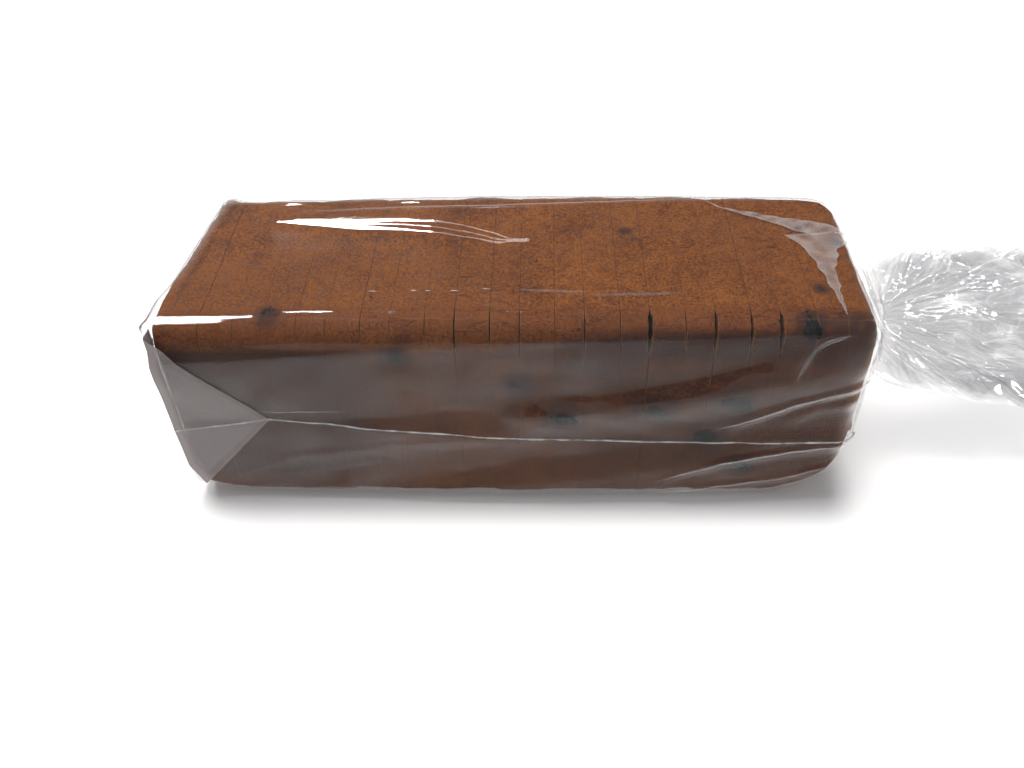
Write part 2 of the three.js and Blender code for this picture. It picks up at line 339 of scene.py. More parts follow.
# %% Random waves
def wave_angles(points, size, seed, terms):
    """Phase of each of `terms` plane waves at each point: 2 pi times distance along a random
    direction over a wavelength near `size`, plus a random start."""
    rng = np.random.default_rng(seed)
    way = rng.normal(size=(terms, points.shape[-1]))
    way /= np.linalg.norm(way, axis=1, keepdims=True)
    length = size * 1.6 ** rng.uniform(-1, 1, terms)
    return points @ (way * (2 * np.pi / length[:, None])).T + rng.uniform(0, 2 * np.pi, terms)


def wavy(points, size, seed, terms=18):
    """Smooth unevenness of about one unit: the sum of sines of the wave angles."""
    return np.sin(wave_angles(points, size, seed, terms)).sum(-1) * math.sqrt(2 / terms)


def crumpled(points, size, seed, terms=7):
    """Sharp-edged unevenness of about one unit: the sum of triangle waves of the wave angles."""
    turn = wave_angles(points, size, seed, terms) / (2 * np.pi)
    return triangle(turn).sum(-1) * math.sqrt(3 / terms)


def smooth(value, low, high):
    """0 below low, 1 above high, and an S-shaped rise (3 t squared minus 2 t cubed) between."""
    t = np.clip((value - low) / (high - low), 0, 1)
    return t * t * (3 - 2 * t)


def mix(a, b, t):
    """a at t = 0, b at t = 1, and in a straight line between."""
    return a + (b - a) * t


def bell(value, centre, width, power=2):
    """1 at centre, falling off on both sides: e to the minus power of the distance in widths."""
    return np.exp(-((value - centre) / width) ** power)


def triangle(turn):
    """A triangle wave from -1 to 1, one for each turn."""
    return np.abs(turn % 1 - 0.5) * 4 - 1


def run_along(path):
    """How far each point of a path lies from its start: the sum of the steps before it."""
    return np.concatenate([[0], np.cumsum(np.linalg.norm(np.diff(path, axis=0), axis=1))])


print("a triangle wave over half a turn:", triangle(np.linspace(0, 0.5, 5)))

# %% Grid surfaces
def add_mesh(name, points, faces, material, attributes=()):
    """A smooth mesh object from points in layout mm and lists of faces with the same count of
    corners in each, with named per-point numbers as attributes."""
    mesh = bpy.data.meshes.new(name)
    corner_counts = np.concatenate([np.full(len(f), f.shape[1]) for f in faces])
    mesh.vertices.add(len(points))
    mesh.vertices.foreach_set("co", to_frame(points).astype(np.float32).ravel())
    mesh.loops.add(int(corner_counts.sum()))
    mesh.loops.foreach_set("vertex_index", np.concatenate([f.ravel() for f in faces]).astype(np.int32))
    mesh.polygons.add(len(corner_counts))
    starts = np.concatenate([[0], np.cumsum(corner_counts)[:-1]])
    mesh.polygons.foreach_set("loop_start", starts.astype(np.int32))
    mesh.update(calc_edges=True)
    mesh.shade_smooth()
    for key, values in dict(attributes).items():
        attribute = mesh.attributes.new(key, "FLOAT", "POINT")
        attribute.data.foreach_set("value", np.asarray(values, np.float32).ravel())
    mesh.validate()
    mesh.materials.append(material)
    piece = bpy.data.objects.new(name, mesh)
    bpy.context.scene.collection.objects.link(piece)
    return piece


def grid_faces(rows, columns, wrap=False):
    """Quads of a grid of points in rows and columns. The face looks along row step x column step.
    wrap joins the last column to the first."""
    index = np.arange(rows * columns).reshape(rows, columns)
    if wrap:
        index = np.concatenate([index, index[:, :1]], axis=1)
    return np.stack([index[:-1, :-1], index[1:, :-1], index[1:, 1:], index[:-1, 1:]], -1).reshape(-1, 4)


def pole_faces(ring, pole, first):
    """Triangles that shut a ring of point numbers with one pole point; first is True at the end
    where the rows begin, so that they look the other way."""
    after = np.roll(ring, -1)
    pole = np.full(len(ring), pole)
    return np.stack([pole, ring, after] if first else [pole, after, ring], -1)


def closed_rings(grid):
    """Points and faces of a grid whose rows are rings: its columns meet, and a pole at the middle
    of its first and of its last ring shuts it."""
    rows, columns = grid.shape[:2]
    count = rows * columns
    points = np.concatenate([grid.reshape(-1, 3), [grid[0].mean(0), grid[-1].mean(0)]])
    return points, [grid_faces(rows, columns, wrap=True), pole_faces(np.arange(columns), count, True),
                    pole_faces(np.arange(count - columns, count), count + 1, False)]


def grid_normals(grid):
    """Unit normals of a grid: the cross product of its row step and its column step."""
    normal = np.cross(np.gradient(grid, axis=0), np.gradient(grid, axis=1))
    return normal / np.maximum(np.linalg.norm(normal, axis=-1, keepdims=True), 1e-9)


print("a grid of 4 by 5 points has", len(grid_faces(4, 5)), "faces, and", len(grid_faces(4, 5, True)),
      "where its columns meet")

# %% [markdown]
# ## The form that bread and bag share
#
# The section across the loaf is a square with round corners. It is walked clockwise as seen from
# the neck, in ten stretches that start at the near seam: up the near side, over the top, down the
# far side to the far seam, then under the loaf and back. The upper film panel is the first five
# stretches and the lower panel the last five, which is where a real bag has its two welds.

# %% Section of the filled bag
FAR_CORNER, CORNER_LEFT = 7.0, 0.4  # the far corner's radius, and how much of it stays at the very end
HEEL_OUT = 0.5  # the heel's dome starts this far past the loaf's length
TIGHT_EDGE = 4.5


def seam_height(x):
    """Height of the side weld: it rises straight to the folded corner's tip, then sinks along a
    power curve to its height at the heel."""
    rise = mix(SEAM_AT_END, SEAM_AT_EAR, (x + END_GAP) / (EAR_TIP + END_GAP))
    along = np.clip((x - EAR_TIP) / SEAM_DROP_LENGTH, 0, 1)
    fall = mix(SEAM_AT_EAR, SEAM_AT_HEEL, 1 - (1 - along) ** SEAM_BEND)
    return np.where(x < EAR_TIP, rise, fall)


def heel_inset(x, radius):
    """How far an edge of the heel has come in at x, along a quarter circle of that radius."""
    past = np.clip(x - (LOAF_LENGTH + HEEL_OUT - radius), 0, radius)
    return radius - np.sqrt(radius**2 - past**2)


def far_corner(x):
    """How far the far side has come in near the closed end, along a quarter circle seen from above."""
    past = np.clip(FAR_CORNER - (x + END_GAP), 0, FAR_CORNER - CORNER_LEFT)
    return FAR_CORNER - np.sqrt(FAR_CORNER**2 - past**2)


def bread_section(x, grow):
    """Sides, corner radii and seam height of the section at x, each as a column, grown by grow."""
    x = np.asarray(x, float)[:, None]
    on_bread = smooth(x, -END_GAP, END_LENGTH)
    middle = np.clip(1 - (2 * x / LOAF_LENGTH - 1) ** 2, 0, None)
    top_round = mix(END_TOP_ROUND, EDGE_ROUND, on_bread) + grow
    return {
        "near": heel_inset(x, HEEL_NEAR_ROUND) - BULGE * middle - grow,
        "far": LOAF_DEPTH - heel_inset(x, HEEL_FAR_ROUND) - far_corner(x) + BULGE * middle + grow,
        "low": mix(END_LIFT, 0, on_bread) + heel_inset(x, HEEL_LOW_ROUND) - grow,
        "high": LOAF_HEIGHT + CROWN * middle - heel_inset(x, HEEL_TOP_ROUND) + grow,
        "low_round": mix(END_LOW_ROUND, EDGE_ROUND, on_bread) + grow,
        "near_round": top_round,
        "far_round": top_round,
        "seam": seam_height(x),
    }


def film_section(x, grow):
    """The bread's section, with the near upper edge as the film goes over it: round along most of
    the loaf, and tight, almost square, towards the heel."""
    section = bread_section(x, grow)
    tight = smooth(np.asarray(x, float)[:, None], 150, 272)
    section["near_round"] = mix(EDGE_ROUND, TIGHT_EDGE, tight) + grow
    return section


def arc(y, z, radius, start, q):
    """A quarter circle walked clockwise from the angle start, in degrees."""
    angle = np.radians(start - 90 * q)
    return y + radius * np.cos(angle), z + radius * np.sin(angle)


def stretch(name, q, b):
    """y and z of one stretch of the section, where q runs from 0 to 1 along it."""
    near, far, low, high = b["near"], b["far"], b["low"], b["high"]
    lr, nr, fr, seam = b["low_round"], b["near_round"], b["far_round"], b["seam"]
    return {
        "near_up": lambda: (near + 0 * q, mix(seam, high - nr, q)),
        "near_top": lambda: arc(near + nr, high - nr, nr, 180, q),
        "top": lambda: (mix(near + nr, far - fr, q), high + 0 * q),
        "far_top": lambda: arc(far - fr, high - fr, fr, 90, q),
        "far_up": lambda: (far + 0 * q, mix(high - fr, seam, q)),
        "far_down": lambda: (far + 0 * q, mix(seam, low + lr, q)),
        "far_low": lambda: arc(far - lr, low + lr, lr, 0, q),
        "bottom": lambda: (mix(far - lr, near + lr, q), low + 0 * q),
        "near_low": lambda: arc(near + lr, low + lr, lr, -90, q),
        "near_down": lambda: (near + 0 * q, mix(low + lr, seam, q)),
    }[name]()


def section_rows(x, stretches, section, closed):
    """Grid of points, one row for each x, round the given stretches of a section. Each stretch
    leaves its end point to the next one, and closed says that the last one does too."""
    ys, zs = [], []
    for k, (name, steps) in enumerate(stretches):
        last = k == len(stretches) - 1 and not closed
        q = np.arange(steps + last)[None, :] / steps
        y, z = stretch(name, q, section)
        ys.append(y)
        zs.append(z)
    y, z = np.concatenate(ys, 1), np.concatenate(zs, 1)
    return np.stack([np.broadcast_to(np.asarray(x, float)[:, None], y.shape), y, z], -1)


def columns_of(stretches, name):
    """The columns of one stretch, as a slice, with its end point."""
    start = sum(steps for key, steps in stretches[:[s[0] for s in stretches].index(name)])
    return slice(start, start + dict(stretches)[name] + 1)


half_way = bread_section([LOAF_LENGTH / 2], 0)
print("section half way along:", {key: round(float(side[0, 0]), 1) for key, side in half_way.items()})

# %% [markdown]
# ## Crust, crumb and fruit: the finishes of the bread
#
# A baked crust is brown in fine grains, with softer patches where the dough touched the tin more or
# less, and thin dark wrinkles. Photographs of crust drift to orange in a render, so the two browns
# stay low in saturation. The cut face is lighter and open. Where a slice's rim was torn by the
# blade, that lighter crumb shows as a hairline, so one material holds both and a per-point number
# called "crumb" says where the knife has been. A second one, "deep", paints shade: it turns the
# cut faces near black inside the narrow gaps between slices, and untorn rims into dark hairlines. A
# third, "stain", darkens the crust round the fruit and at blots, and paints shade on the
# sides, under the near upper edge and in the groove behind the closed end.

# %% Bread material
CRUST_DARK = (0.086, 0.024, 0.0072, 1)
CRUST_LIGHT = (0.262, 0.088, 0.0195, 1)
CRUST_DULL = (0.155, 0.054, 0.018, 1)
CRUST_BURNT = (0.030, 0.012, 0.009, 1)
CRUST_EDGE = (0.125, 0.038, 0.013, 1)
CRUMB_TORN = (0.27, 0.115, 0.042, 1)
CRUMB_OPEN = (0.15, 0.062, 0.026, 1)
# painted shade: the near black of cut faces inside the gaps between slices
CRUMB_GAP_SHADE = (0.020, 0.010, 0.008, 1)
# colour of fruit juice and blots, also used for painted shade on the sides and in recesses
STAIN_AND_SHADE = (0.022, 0.013, 0.014, 1)


def bread_material():
    """Crust with fine grain, soft patches and wrinkles, turned into crumb where the knife cut."""
    material = bpy.data.materials.new("bread")
    tree = Tree(material)
    place = tree.place()
    fine = tree.noise(place, 1000, 3, 0.75)
    grain = tree.noise(place, 260, 4, 0.65)
    patch = tree.noise(place, 42, 4, 0.6)
    cloud = tree.noise(place, 11, 2)
    tone = tree.math("MULTIPLY_ADD", grain, 0.24, tree.math("MULTIPLY", patch, 0.18))
    tone = tree.math("MULTIPLY_ADD", fine, 0.58, tone)
    colour = tree.mixed(tree.ranged(tone, 0.39, 0.61), CRUST_DARK, CRUST_LIGHT)
    colour = tree.mixed(tree.ranged(cloud, 0.42, 0.62, 0.0, 0.3), colour, CRUST_DULL)
    edge = tree.on_points("edge")
    colour = tree.mixed(tree.math("MULTIPLY", edge, 0.5), colour, CRUST_EDGE)
    long_way = tree.add("Mapping", {"Vector": place, "Scale": (0.3, 1.0, 1.0)}).outputs[0]
    line = tree.noise(long_way, 90, 4, 0.62)
    off_line = tree.math("ABSOLUTE", tree.math("SUBTRACT", line, 0.5))
    where = tree.ranged(tree.noise(place, 26, 2), 0.60, 0.70)
    where = tree.math("MAXIMUM", where, tree.math("MULTIPLY", edge, 0.9))
    wrinkle = tree.math("MULTIPLY", tree.ranged(off_line, 0.010, 0.0), where)
    colour = tree.mixed(tree.math("MULTIPLY", wrinkle, 0.75), colour, CRUST_BURNT)
    speck = tree.ranged(tree.noise(place, 420, 2), 0.66, 0.74)
    colour = tree.mixed(tree.math("MULTIPLY", speck, 0.6), colour, CRUST_BURNT)
    # fruit juice and blots, and painted shade on the sides, under the near edge and in the end groove
    stain = tree.on_points("stain")
    colour = tree.mixed(tree.math("MULTIPLY", stain, 0.8), colour, STAIN_AND_SHADE)
    crumb = tree.on_points("crumb")
    deep = tree.on_points("deep")
    pores = tree.ranged(tree.noise(place, 520, 3), 0.38, 0.55)
    inside = tree.mixed(pores, CRUMB_OPEN, CRUMB_TORN)
    # painted shade: cut faces turn near black inside the gaps between slices
    inside = tree.mixed(deep, inside, CRUMB_GAP_SHADE)
    colour = tree.mixed(crumb, colour, inside)
    height = tree.math("MULTIPLY_ADD", fine, 0.25, tree.math("MULTIPLY", grain, 0.75))
    height = tree.math("MULTIPLY_ADD", wrinkle, -0.7, height)
    bump = tree.add("Bump", {"Strength": 0.6, "Distance": 0.0006, "Height": height})
    tree.shown(tree.add("BsdfPrincipled", {
        "Base Color": colour, "Roughness": tree.ranged(grain, 0.3, 0.7, 0.52, 0.8),
        "Specular IOR Level": 0.10, "Normal": bump.outputs[0]}))
    return material


bread = bread_material()
print("bread:", len(bread.node_tree.nodes), "nodes")

# %% [markdown]
# ## Where the fruit sits
#
# Dark dried fruit shows at the crust, most of it behind the film on the near side. Each is a small
# wrinkled body sunk into the crust, and its juice has darkened the crust around it, so the places
# are settled before the slices are made. A few more on the sides that the picture does not show
# keep the loaf of one kind all round; a seed fixes them.

# %% Fruit places
FRUIT_NEAR = (  # x, height and size
    (93.2, 83, 5.4), (141.8, 68.6, 5.4), (160, 50, 7.0), (197.4, 53.5, 6.8), (228.5, 57.5, 7.4),
    (218.5, 39.5, 6.4), (235.4, 21.6, 5.6),
)
FRUIT_TOP = (  # x, y and size
    (185.8, 63.6, 3.0), (44.1, 8.9, 4.8), (252.6, 5.3, 6.0), (272.0, 56.4, 3.0), (260.4, 24.6, 3.4),
)
FRUIT_ENDS = (((LOAF_LENGTH + 4.2, 34, 66), (1, 0, 0), 3.0), ((4.2, 62, 30), (-1, 0, 0), 2.8))
STAINS = (  # blots without a fruit: x, y, z and size
    (165, -1, 86.8, 5.0), (174, -1, 79.6, 7.0), (179, -1, 87.8, 4.5), (160, -1, 79.6, 4.0),
    (97, -1, 93, 4.0), (188, 60, 98, 4.0), (113, 80, 98, 5.0), (258, 66, 98, 4.0),
)
FRUIT_SUNK, EDGE_FRUIT, EDGE_TILT = 1.3, 9, 0.35  # nearer than EDGE_FRUIT it lies on the round edge
FAR_FRUITS = 6
BREAD_INSET = 0.6


def edge_drop(y):
    """How far the round near upper edge lies under the top at y."""
    past = max(EDGE_ROUND - y, 0)
    return EDGE_ROUND - math.sqrt(EDGE_ROUND**2 - past**2)


def bread_side(x, key):
    """Where one side of the bread is at x."""
    return float(bread_section([x], -BREAD_INSET)[key][0, 0])


def fruit_places():
    """Centre, outward direction and size of each dried fruit."""
    rng = np.random.default_rng(17)
    near = [((x, bread_side(x, "near") + FRUIT_SUNK, z), (0, -1, 0), r) for x, z, r in FRUIT_NEAR]
    top = []
    for x, y, r in FRUIT_TOP:
        tilt = EDGE_TILT * (y < EDGE_FRUIT)
        height = bread_side(x, "high") - FRUIT_SUNK - tilt - edge_drop(y)
        top.append(((x, y, height), (0, -tilt, 1), r))
    drawn = [rng.uniform(low, high, FAR_FRUITS) for low, high in ((30, 250), (25, 80), (2.6, 4.0))]
    far = [((x, bread_side(x, "far") - FRUIT_SUNK, z), (0, 1, 0), r) for x, z, r in zip(*drawn)]
    return near + top + far + list(FRUIT_ENDS)


fruits = fruit_places()
print(len(fruits), "dried fruits")

# %% [markdown]
# ## The slices
#
# A slice could be a box with a bevel, but its crust carries on from its neighbour's, and the blade
# leaves a slightly torn rim. So each slice is one closed surface: rings that start at a pole in the
# middle of one cut face, run out to the rim, over the crust and back to the other pole. The crust's
# unevenness is one function of place, so that it runs on across the cuts. The two heels use the
# same rings, but their outer end is the domed end crust.
#
# The slices stand so close that most cuts are hairlines. Only at the near upper edge, where the
# crust is short and brittle, some gape by a millimetre or two.

# %% Crust relief and cuts
BREAD_FLOOR = 0.35
BREAD_STRETCHES = (("near_up", 40), ("near_top", 14), ("top", 70), ("far_top", 10), ("far_up", 28),
                   ("far_down", 22), ("far_low", 8), ("bottom", 36), ("near_low", 9), ("near_down", 32))
BREAD_MIDDLE = np.array([0, LOAF_DEPTH / 2, LOAF_HEIGHT / 2])
WIDE_CUTS = {1: 0.10, 5: 0.12, 7: 0.15, 8: 0.42, 9: 0.28, 10: 0.22, 12: 0.3, 13: 0.2, 14: 1.25, 15: 0.3,
             16: 0.85, 17: 0.75, 18: 1.2, 19: 0.25}
cut_rng = np.random.default_rng(4)
CUT_HALF = 0.012 + 0.022 * cut_rng.random(CUTS)
RELIEF_LIMIT = 0.55
PLAIN_CUT = 0.06


def crust_relief(points):
    """How far the crust stands out of its smooth form, in mm: slow swells, smaller dimples and fine
    grain, held under 0.6 mm so that the film clears it."""
    raw = 0.22 * wavy(points, 36, 11) + 0.11 * wavy(points, 9, 12) + 0.05 * wavy(points, 3.5, 13)
    return RELIEF_LIMIT * np.tanh(raw / RELIEF_LIMIT)


def cut_at(j):
    """Where cut j is: the slicer's two sets of blades stand a little closer than the pitch."""
    return FIRST_CUT + SLICE_PITCH * j - (BLADE_SHIFT if j % 2 == 0 else 0)


def near_edge_of(ring, reach_y, reach_z):
    """1 at the near upper edge of the loaf, falling off as a flat-topped bell with the two reaches."""
    return bell(ring[..., 1], 2, reach_y, 4) * bell(ring[..., 2], LOAF_HEIGHT - 3, reach_z, 4)


def half_gap(ring, j):
    """Half the width of cut j round the ring: a hairline, wider at the near upper edge, a little
    open down the near side of the wide cuts, and uneven along its way."""
    wide = WIDE_CUTS.get(j, PLAIN_CUT)
    down_near = bell(ring[..., 1], 0, 5) * smooth(ring[..., 2], 45, 92)
    uneven = 1 + 0.35 * wavy(ring, 11, 200 + j, 8)
    ragged = np.clip(1 + 0.2 * wavy(ring, 3.5, 230 + j, 8), 0.5, 1.5)
    gape = wide * (0.58 * near_edge_of(ring, 7, 8) + 0.08 * down_near)
    return CUT_HALF[j] * np.clip(uneven, 0.3, 2) + gape * ragged


def torn_rim(ring, j):
    """How far the crust is frayed back from cut j, in mm: a fine fray, more of it where the cut
    gapes."""
    fray = 0.012 + 0.07 * np.clip(wavy(ring, 14, 100 + j, 8) - 0.5, 0, None)
    return fray + (0.08 + 0.42 * WIDE_CUTS.get(j, 0.1)) * near_edge_of(ring, 8, 10)


print("cuts stand from", round(cut_at(0), 1), "to", round(cut_at(CUTS - 1), 1), "mm")

# %% [markdown]
# ## One slice
#
# First its two kinds of ends, a cut face and a heel's dome, then the marks on its crust, and then
# the slice itself, with its rings crowded where a heel turns.

# %% Slice ends
# the third column is each step's painted gap shade
FACE_STEPS = ((0.3, 0.12, 0.0), (1.0, 0.0, 0.0), (1.9, 0.0, 0.3), (6.0, 0.0, 1.0))  # back, short, deep
FACE_SHARES = (0.3, 0.6, 0.85, 0.96)
FACE_STRIDE = 0.9
# painted shade of the hairline where the rim is not torn
RIM_BEVEL, HAIRLINE_SHADE = 0.35, 0.7
END_ROUND, CLOSED_END, HEEL_GAP = 2.8, -1.8, 0.2
END_SETBACK, SETBACK_FROM = 0.112, 20.0
RINGS, END_RINGS, HEEL_RINGS, RINGS_CROWD = 12, 22, 26, 1.5
DOME_RISE = 6.5
DOME_SHARES = np.array([0.05, 0.12, 0.2, 0.3, 0.42, 0.55, 0.68, 0.8, 0.9, 0.97])
END_SHARES = np.array([0.97, 0.88, 0.75, 0.6, 0.45, 0.32, 0.2, 0.1, 0.04])
END_FACE_OUT = 0.3
CORNER_PRESSED = 1.3
# how strongly painted shade darkens the sides
SIDE_SHADE = 0.45
FRUIT_JUICE = 1.15  # the stain's size, in sizes of its fruit
SLICE_SHIFT = 0.16


def end_back(y):
    """How far the closed end lies back at y: in a straight line towards the far side, where the
    loaf is shorter."""
    return END_SETBACK * np.clip(y - SETBACK_FROM, 0, None)


def face_rings(rim, edge_x, j, way):
    """Rings of a cut face, from near the rim in: first over the torn rim onto the face, then along
    straight lines to its middle. way is 1 for a slice's right face and -1 for its left one. Returns
    the rings, how much each is crumb, and its painted gap shade: near black deeper into the face,
    and along the rim where it is not torn."""
    toward = BREAD_MIDDLE - rim
    toward[:, 0] = 0
    toward /= np.linalg.norm(toward, axis=1, keepdims=True)
    torn = torn_rim(rim, j)
    rings = []
    for back, short, _ in FACE_STEPS:
        ring = rim + toward * (torn * min(back, 1) + max(back - 1, 0) * FACE_STRIDE)[:, None]
        ring[:, 0] = edge_x - way * short
        rings.append(ring)
    for share in FACE_SHARES:
        ring = mix(rings[len(FACE_STEPS) - 1], BREAD_MIDDLE, share)
        ring[:, 0] = edge_x
        rings.append(ring)
    crumb = np.ones((len(rings), len(rim)))
    crumb[0] = 0.7 * smooth(torn, 0.04, 0.28)
    deep = np.array([step[2] for step in FACE_STEPS] + [1.0] * len(FACE_SHARES))[:, None]
    deep = np.maximum(deep, HAIRLINE_SHADE * (1 - smooth(torn, 0.05, 0.30))[None, :])
    return np.stack(rings), crumb, deep


def closed_end_rows(crust, x):
    """The closed end's heel: each ring drawn in along a quarter circle, so that its end face has
    round edges."""
    past = np.clip(END_ROUND - (x - CLOSED_END), 0, END_ROUND)
    inset = END_ROUND - np.sqrt(END_ROUND**2 - past**2)
    toward = BREAD_MIDDLE - crust
    toward[..., 0] = 0
    reach = np.maximum(np.abs(toward[..., 1]), np.abs(toward[..., 2]))[..., None]
    return crust + toward / reach * inset[:, None, None]


def pressed_corners(points):
    """The way in and down, as far as the tight film presses the closed end's two upper corners: a
    bell round each corner, times the direction to the loaf's middle."""
    x, y, z = np.moveaxis(points, -1, 0)
    high = bell(x, 0, 7) * bell(z, 96, 6)
    near, far = bell(y, 1, 6), bell(y, 91, 7)
    both = high * (near + far)
    return np.stack([0.3 * both, 0.7 * high * (near - far), -0.7 * both], -1)


print("the closed end lies", round(float(end_back(LOAF_DEPTH)), 1), "mm further back at its far side")

# %% Marks and painted shade on the crust
def marks_and_shade(grid):
    """Per-point numbers of the crust: edge, which is 1 along the near upper edge, and stain,
    which is 1 at a dried fruit and falls off as a bell around it, with blots and the dark heel corner,
    and with painted shade: a dark line in the groove behind the closed end's edge, a band under the
    near upper edge, and the sides darker than the top."""
    x, y, z = np.moveaxis(grid, -1, 0)
    edge = bell(y, 5, 8, 4) * bell(z, LOAF_HEIGHT, 9, 4)
    uneven = np.clip(0.75 + 0.5 * wavy(grid, 7, 19), 0, 1)
    # painted shade: a dark line in the groove behind the closed end's edge
    groove = bell(x - end_back(y), 4.8, 1.3) * smooth(z, 92, 96) * smooth(y, 8, 30)
    heel_corner = smooth(x, 250, 268) * (1 - smooth(y, 6, 15)) * smooth(z, 76, 88)
    # painted shade on the near side just under the upper edge
    shade_under_edge = (1 - smooth(y, 0.5, 4.5)) * smooth(z, 80, 88) * smooth(x, 110, 200)
    stain = 0.6 * uneven * groove + 0.95 * heel_corner * uneven**0.5 + 0.35 * shade_under_edge
    for centre, _, size in fruits:
        stain = stain + bell(np.linalg.norm(grid - np.array(centre), axis=-1), 0, FRUIT_JUICE * size, 4)
    for *centre, size in STAINS:
        stain = stain + 0.6 * uneven * bell(np.linalg.norm(grid - np.array(centre), axis=-1), 0, size)
    # painted shade: the sides darker than the top, in differing strength along and up the loaf
    side = np.maximum(1 - smooth(y, 0, 4), smooth(y, LOAF_DEPTH - 4, LOAF_DEPTH))
    up_to = mix(88, 97, smooth(x, 100, 230))
    stronger = mix(1, 1.5, smooth(z, 8, 28)) * mix(1.7, 1, smooth(x, 40, 110))
    stronger = stronger * mix(1, 1.25, smooth(x, 130, 180))
    stain = stain + SIDE_SHADE * stronger * side * (1 - smooth(z, up_to - 5, up_to + 4))
    return edge, np.clip(stain, 0, 1)


print("marks at the first fruit:", [float(m[0].round(2)) for m in marks_and_shade(np.array([fruits[0][0]]))])

# %% Slices
def all_crust(grid):
    """A grid with its numbers for crumb and painted gap shade, which are 0 on crust."""
    return grid, np.zeros(grid.shape[:2]), np.zeros(grid.shape[:2])


def make_slice(number):
    """One slice as a closed surface of rings between two poles."""
    first, last = number == 0, number == CUTS
    left = CLOSED_END if first else cut_at(number - 1)
    right = LOAF_LENGTH - HEEL_GAP if last else cut_at(number)
    u = np.linspace(0, 1, RINGS)
    if first:
        u = np.linspace(0, 1, END_RINGS) ** RINGS_CROWD
    if last:
        u = 1 - (1 - np.linspace(0, 1, HEEL_RINGS)) ** RINGS_CROWD
    x = mix(left + (0 if first else RIM_BEVEL), right - (0 if last else RIM_BEVEL), u)
    crust = section_rows(x, BREAD_STRETCHES, bread_section(x, -BREAD_INSET), closed=True)
    if first:
        crust = closed_end_rows(crust, x)
        crust[..., 0] += end_back(crust[..., 1]) * (1 - u)[:, None]
        crust = crust + CORNER_PRESSED * pressed_corners(crust)
    gap_left = 0 if first else half_gap(crust[0], number - 1)
    gap_right = 0 if last else half_gap(crust[-1], number)
    crust[..., 0] += gap_left * (1 - u)[:, None] - gap_right * u[:, None]
    wrapped = np.concatenate([crust[:, -1:], crust, crust[:, :1]], axis=1)
    crust = crust + grid_normals(wrapped)[:, 1:-1] * crust_relief(crust)[..., None]
    if first:
        end = mix(crust[:1], BREAD_MIDDLE, END_SHARES[:, None, None])
        end[..., 0] = CLOSED_END + end_back(end[..., 1]) - END_FACE_OUT
        end[..., 0] += 0.25 * crust_relief(end)
        before = all_crust(end)
    else:
        rings = face_rings(crust[0], left + gap_left, number - 1, -1)
        before = tuple(part[::-1] for part in rings)
    if last:
        dome = mix(crust[-1:], np.array([0, NECK[1], NECK[2]]), DOME_SHARES[:, None, None])
        dome[..., 0] = crust[-1][None, :, 0] + DOME_RISE * (1 - (1 - DOME_SHARES[:, None]) ** 2)
        dome[..., 0] += 0.5 * crust_relief(dome)
        after = all_crust(dome)
    else:
        after = face_rings(crust[-1], right - gap_right, number, 1)
    grid, crumb, deep = (np.concatenate(part) for part in zip(before, all_crust(crust), after))
    shift = np.random.default_rng(50 + number).uniform(-SLICE_SHIFT, SLICE_SHIFT, 2)
    grid = grid + np.array([0, *shift])
    grid[..., 2] = np.maximum(grid[..., 2], BREAD_FLOOR)
    edge, stain = marks_and_shade(grid)
    pole_crumb = [0.0 if first else 1.0, 0.0 if last else 1.0]
    marks = {"crumb": np.append(crumb, pole_crumb), "deep": np.append(deep, pole_crumb),
             "edge": np.append(edge, [0, 0]), "stain": np.append(stain, [0, 0])}
    return add_mesh(f"slice_{number + 1:02d}", *closed_rings(grid), bread, marks)


slices = [make_slice(k) for k in range(CUTS + 1)]
print(len(slices), "slices,", sum(len(s.data.polygons) for s in slices), "faces")

# %% [markdown]
# ## Dried fruit
#
# A raisin or currant is an egg whose skin has sunk in folds. Each is a grid round a sphere, pressed
# flat towards the crust, with ridged waves in its radius. All of them are one mesh, because they
# share one finish and never move on their own.

# %% Fruit material and mesh
FRUIT_DARK, FRUIT_BLOOM = (0.004, 0.004, 0.004, 1), (0.010, 0.012, 0.013, 1)


def fruit_material():
    """Blue-black skin with a dull bloom and a soft shine."""
    material = bpy.data.materials.new("dried_fruit")
    tree = Tree(material)
    place = tree.place()
    bloom = tree.ranged(tree.noise(place, 500, 3), 0.4, 0.7)
    bump = tree.add("Bump", {"Strength": 0.5, "Distance": 0.0004, "Height": tree.noise(place, 900, 3)})
    tree.shown(tree.add("BsdfPrincipled", {
        "Base Color": tree.mixed(bloom, FRUIT_DARK, FRUIT_BLOOM), "Roughness": 0.6,
        "Specular IOR Level": 0.12, "Normal": bump.outputs[0]}))
    return material


FRUIT_ROWS, FRUIT_COLUMNS = 22, 30
FRUIT_LONG, FRUIT_SLIM, FRUIT_FLAT = 1.15, (0.58, 0.82), 0.36


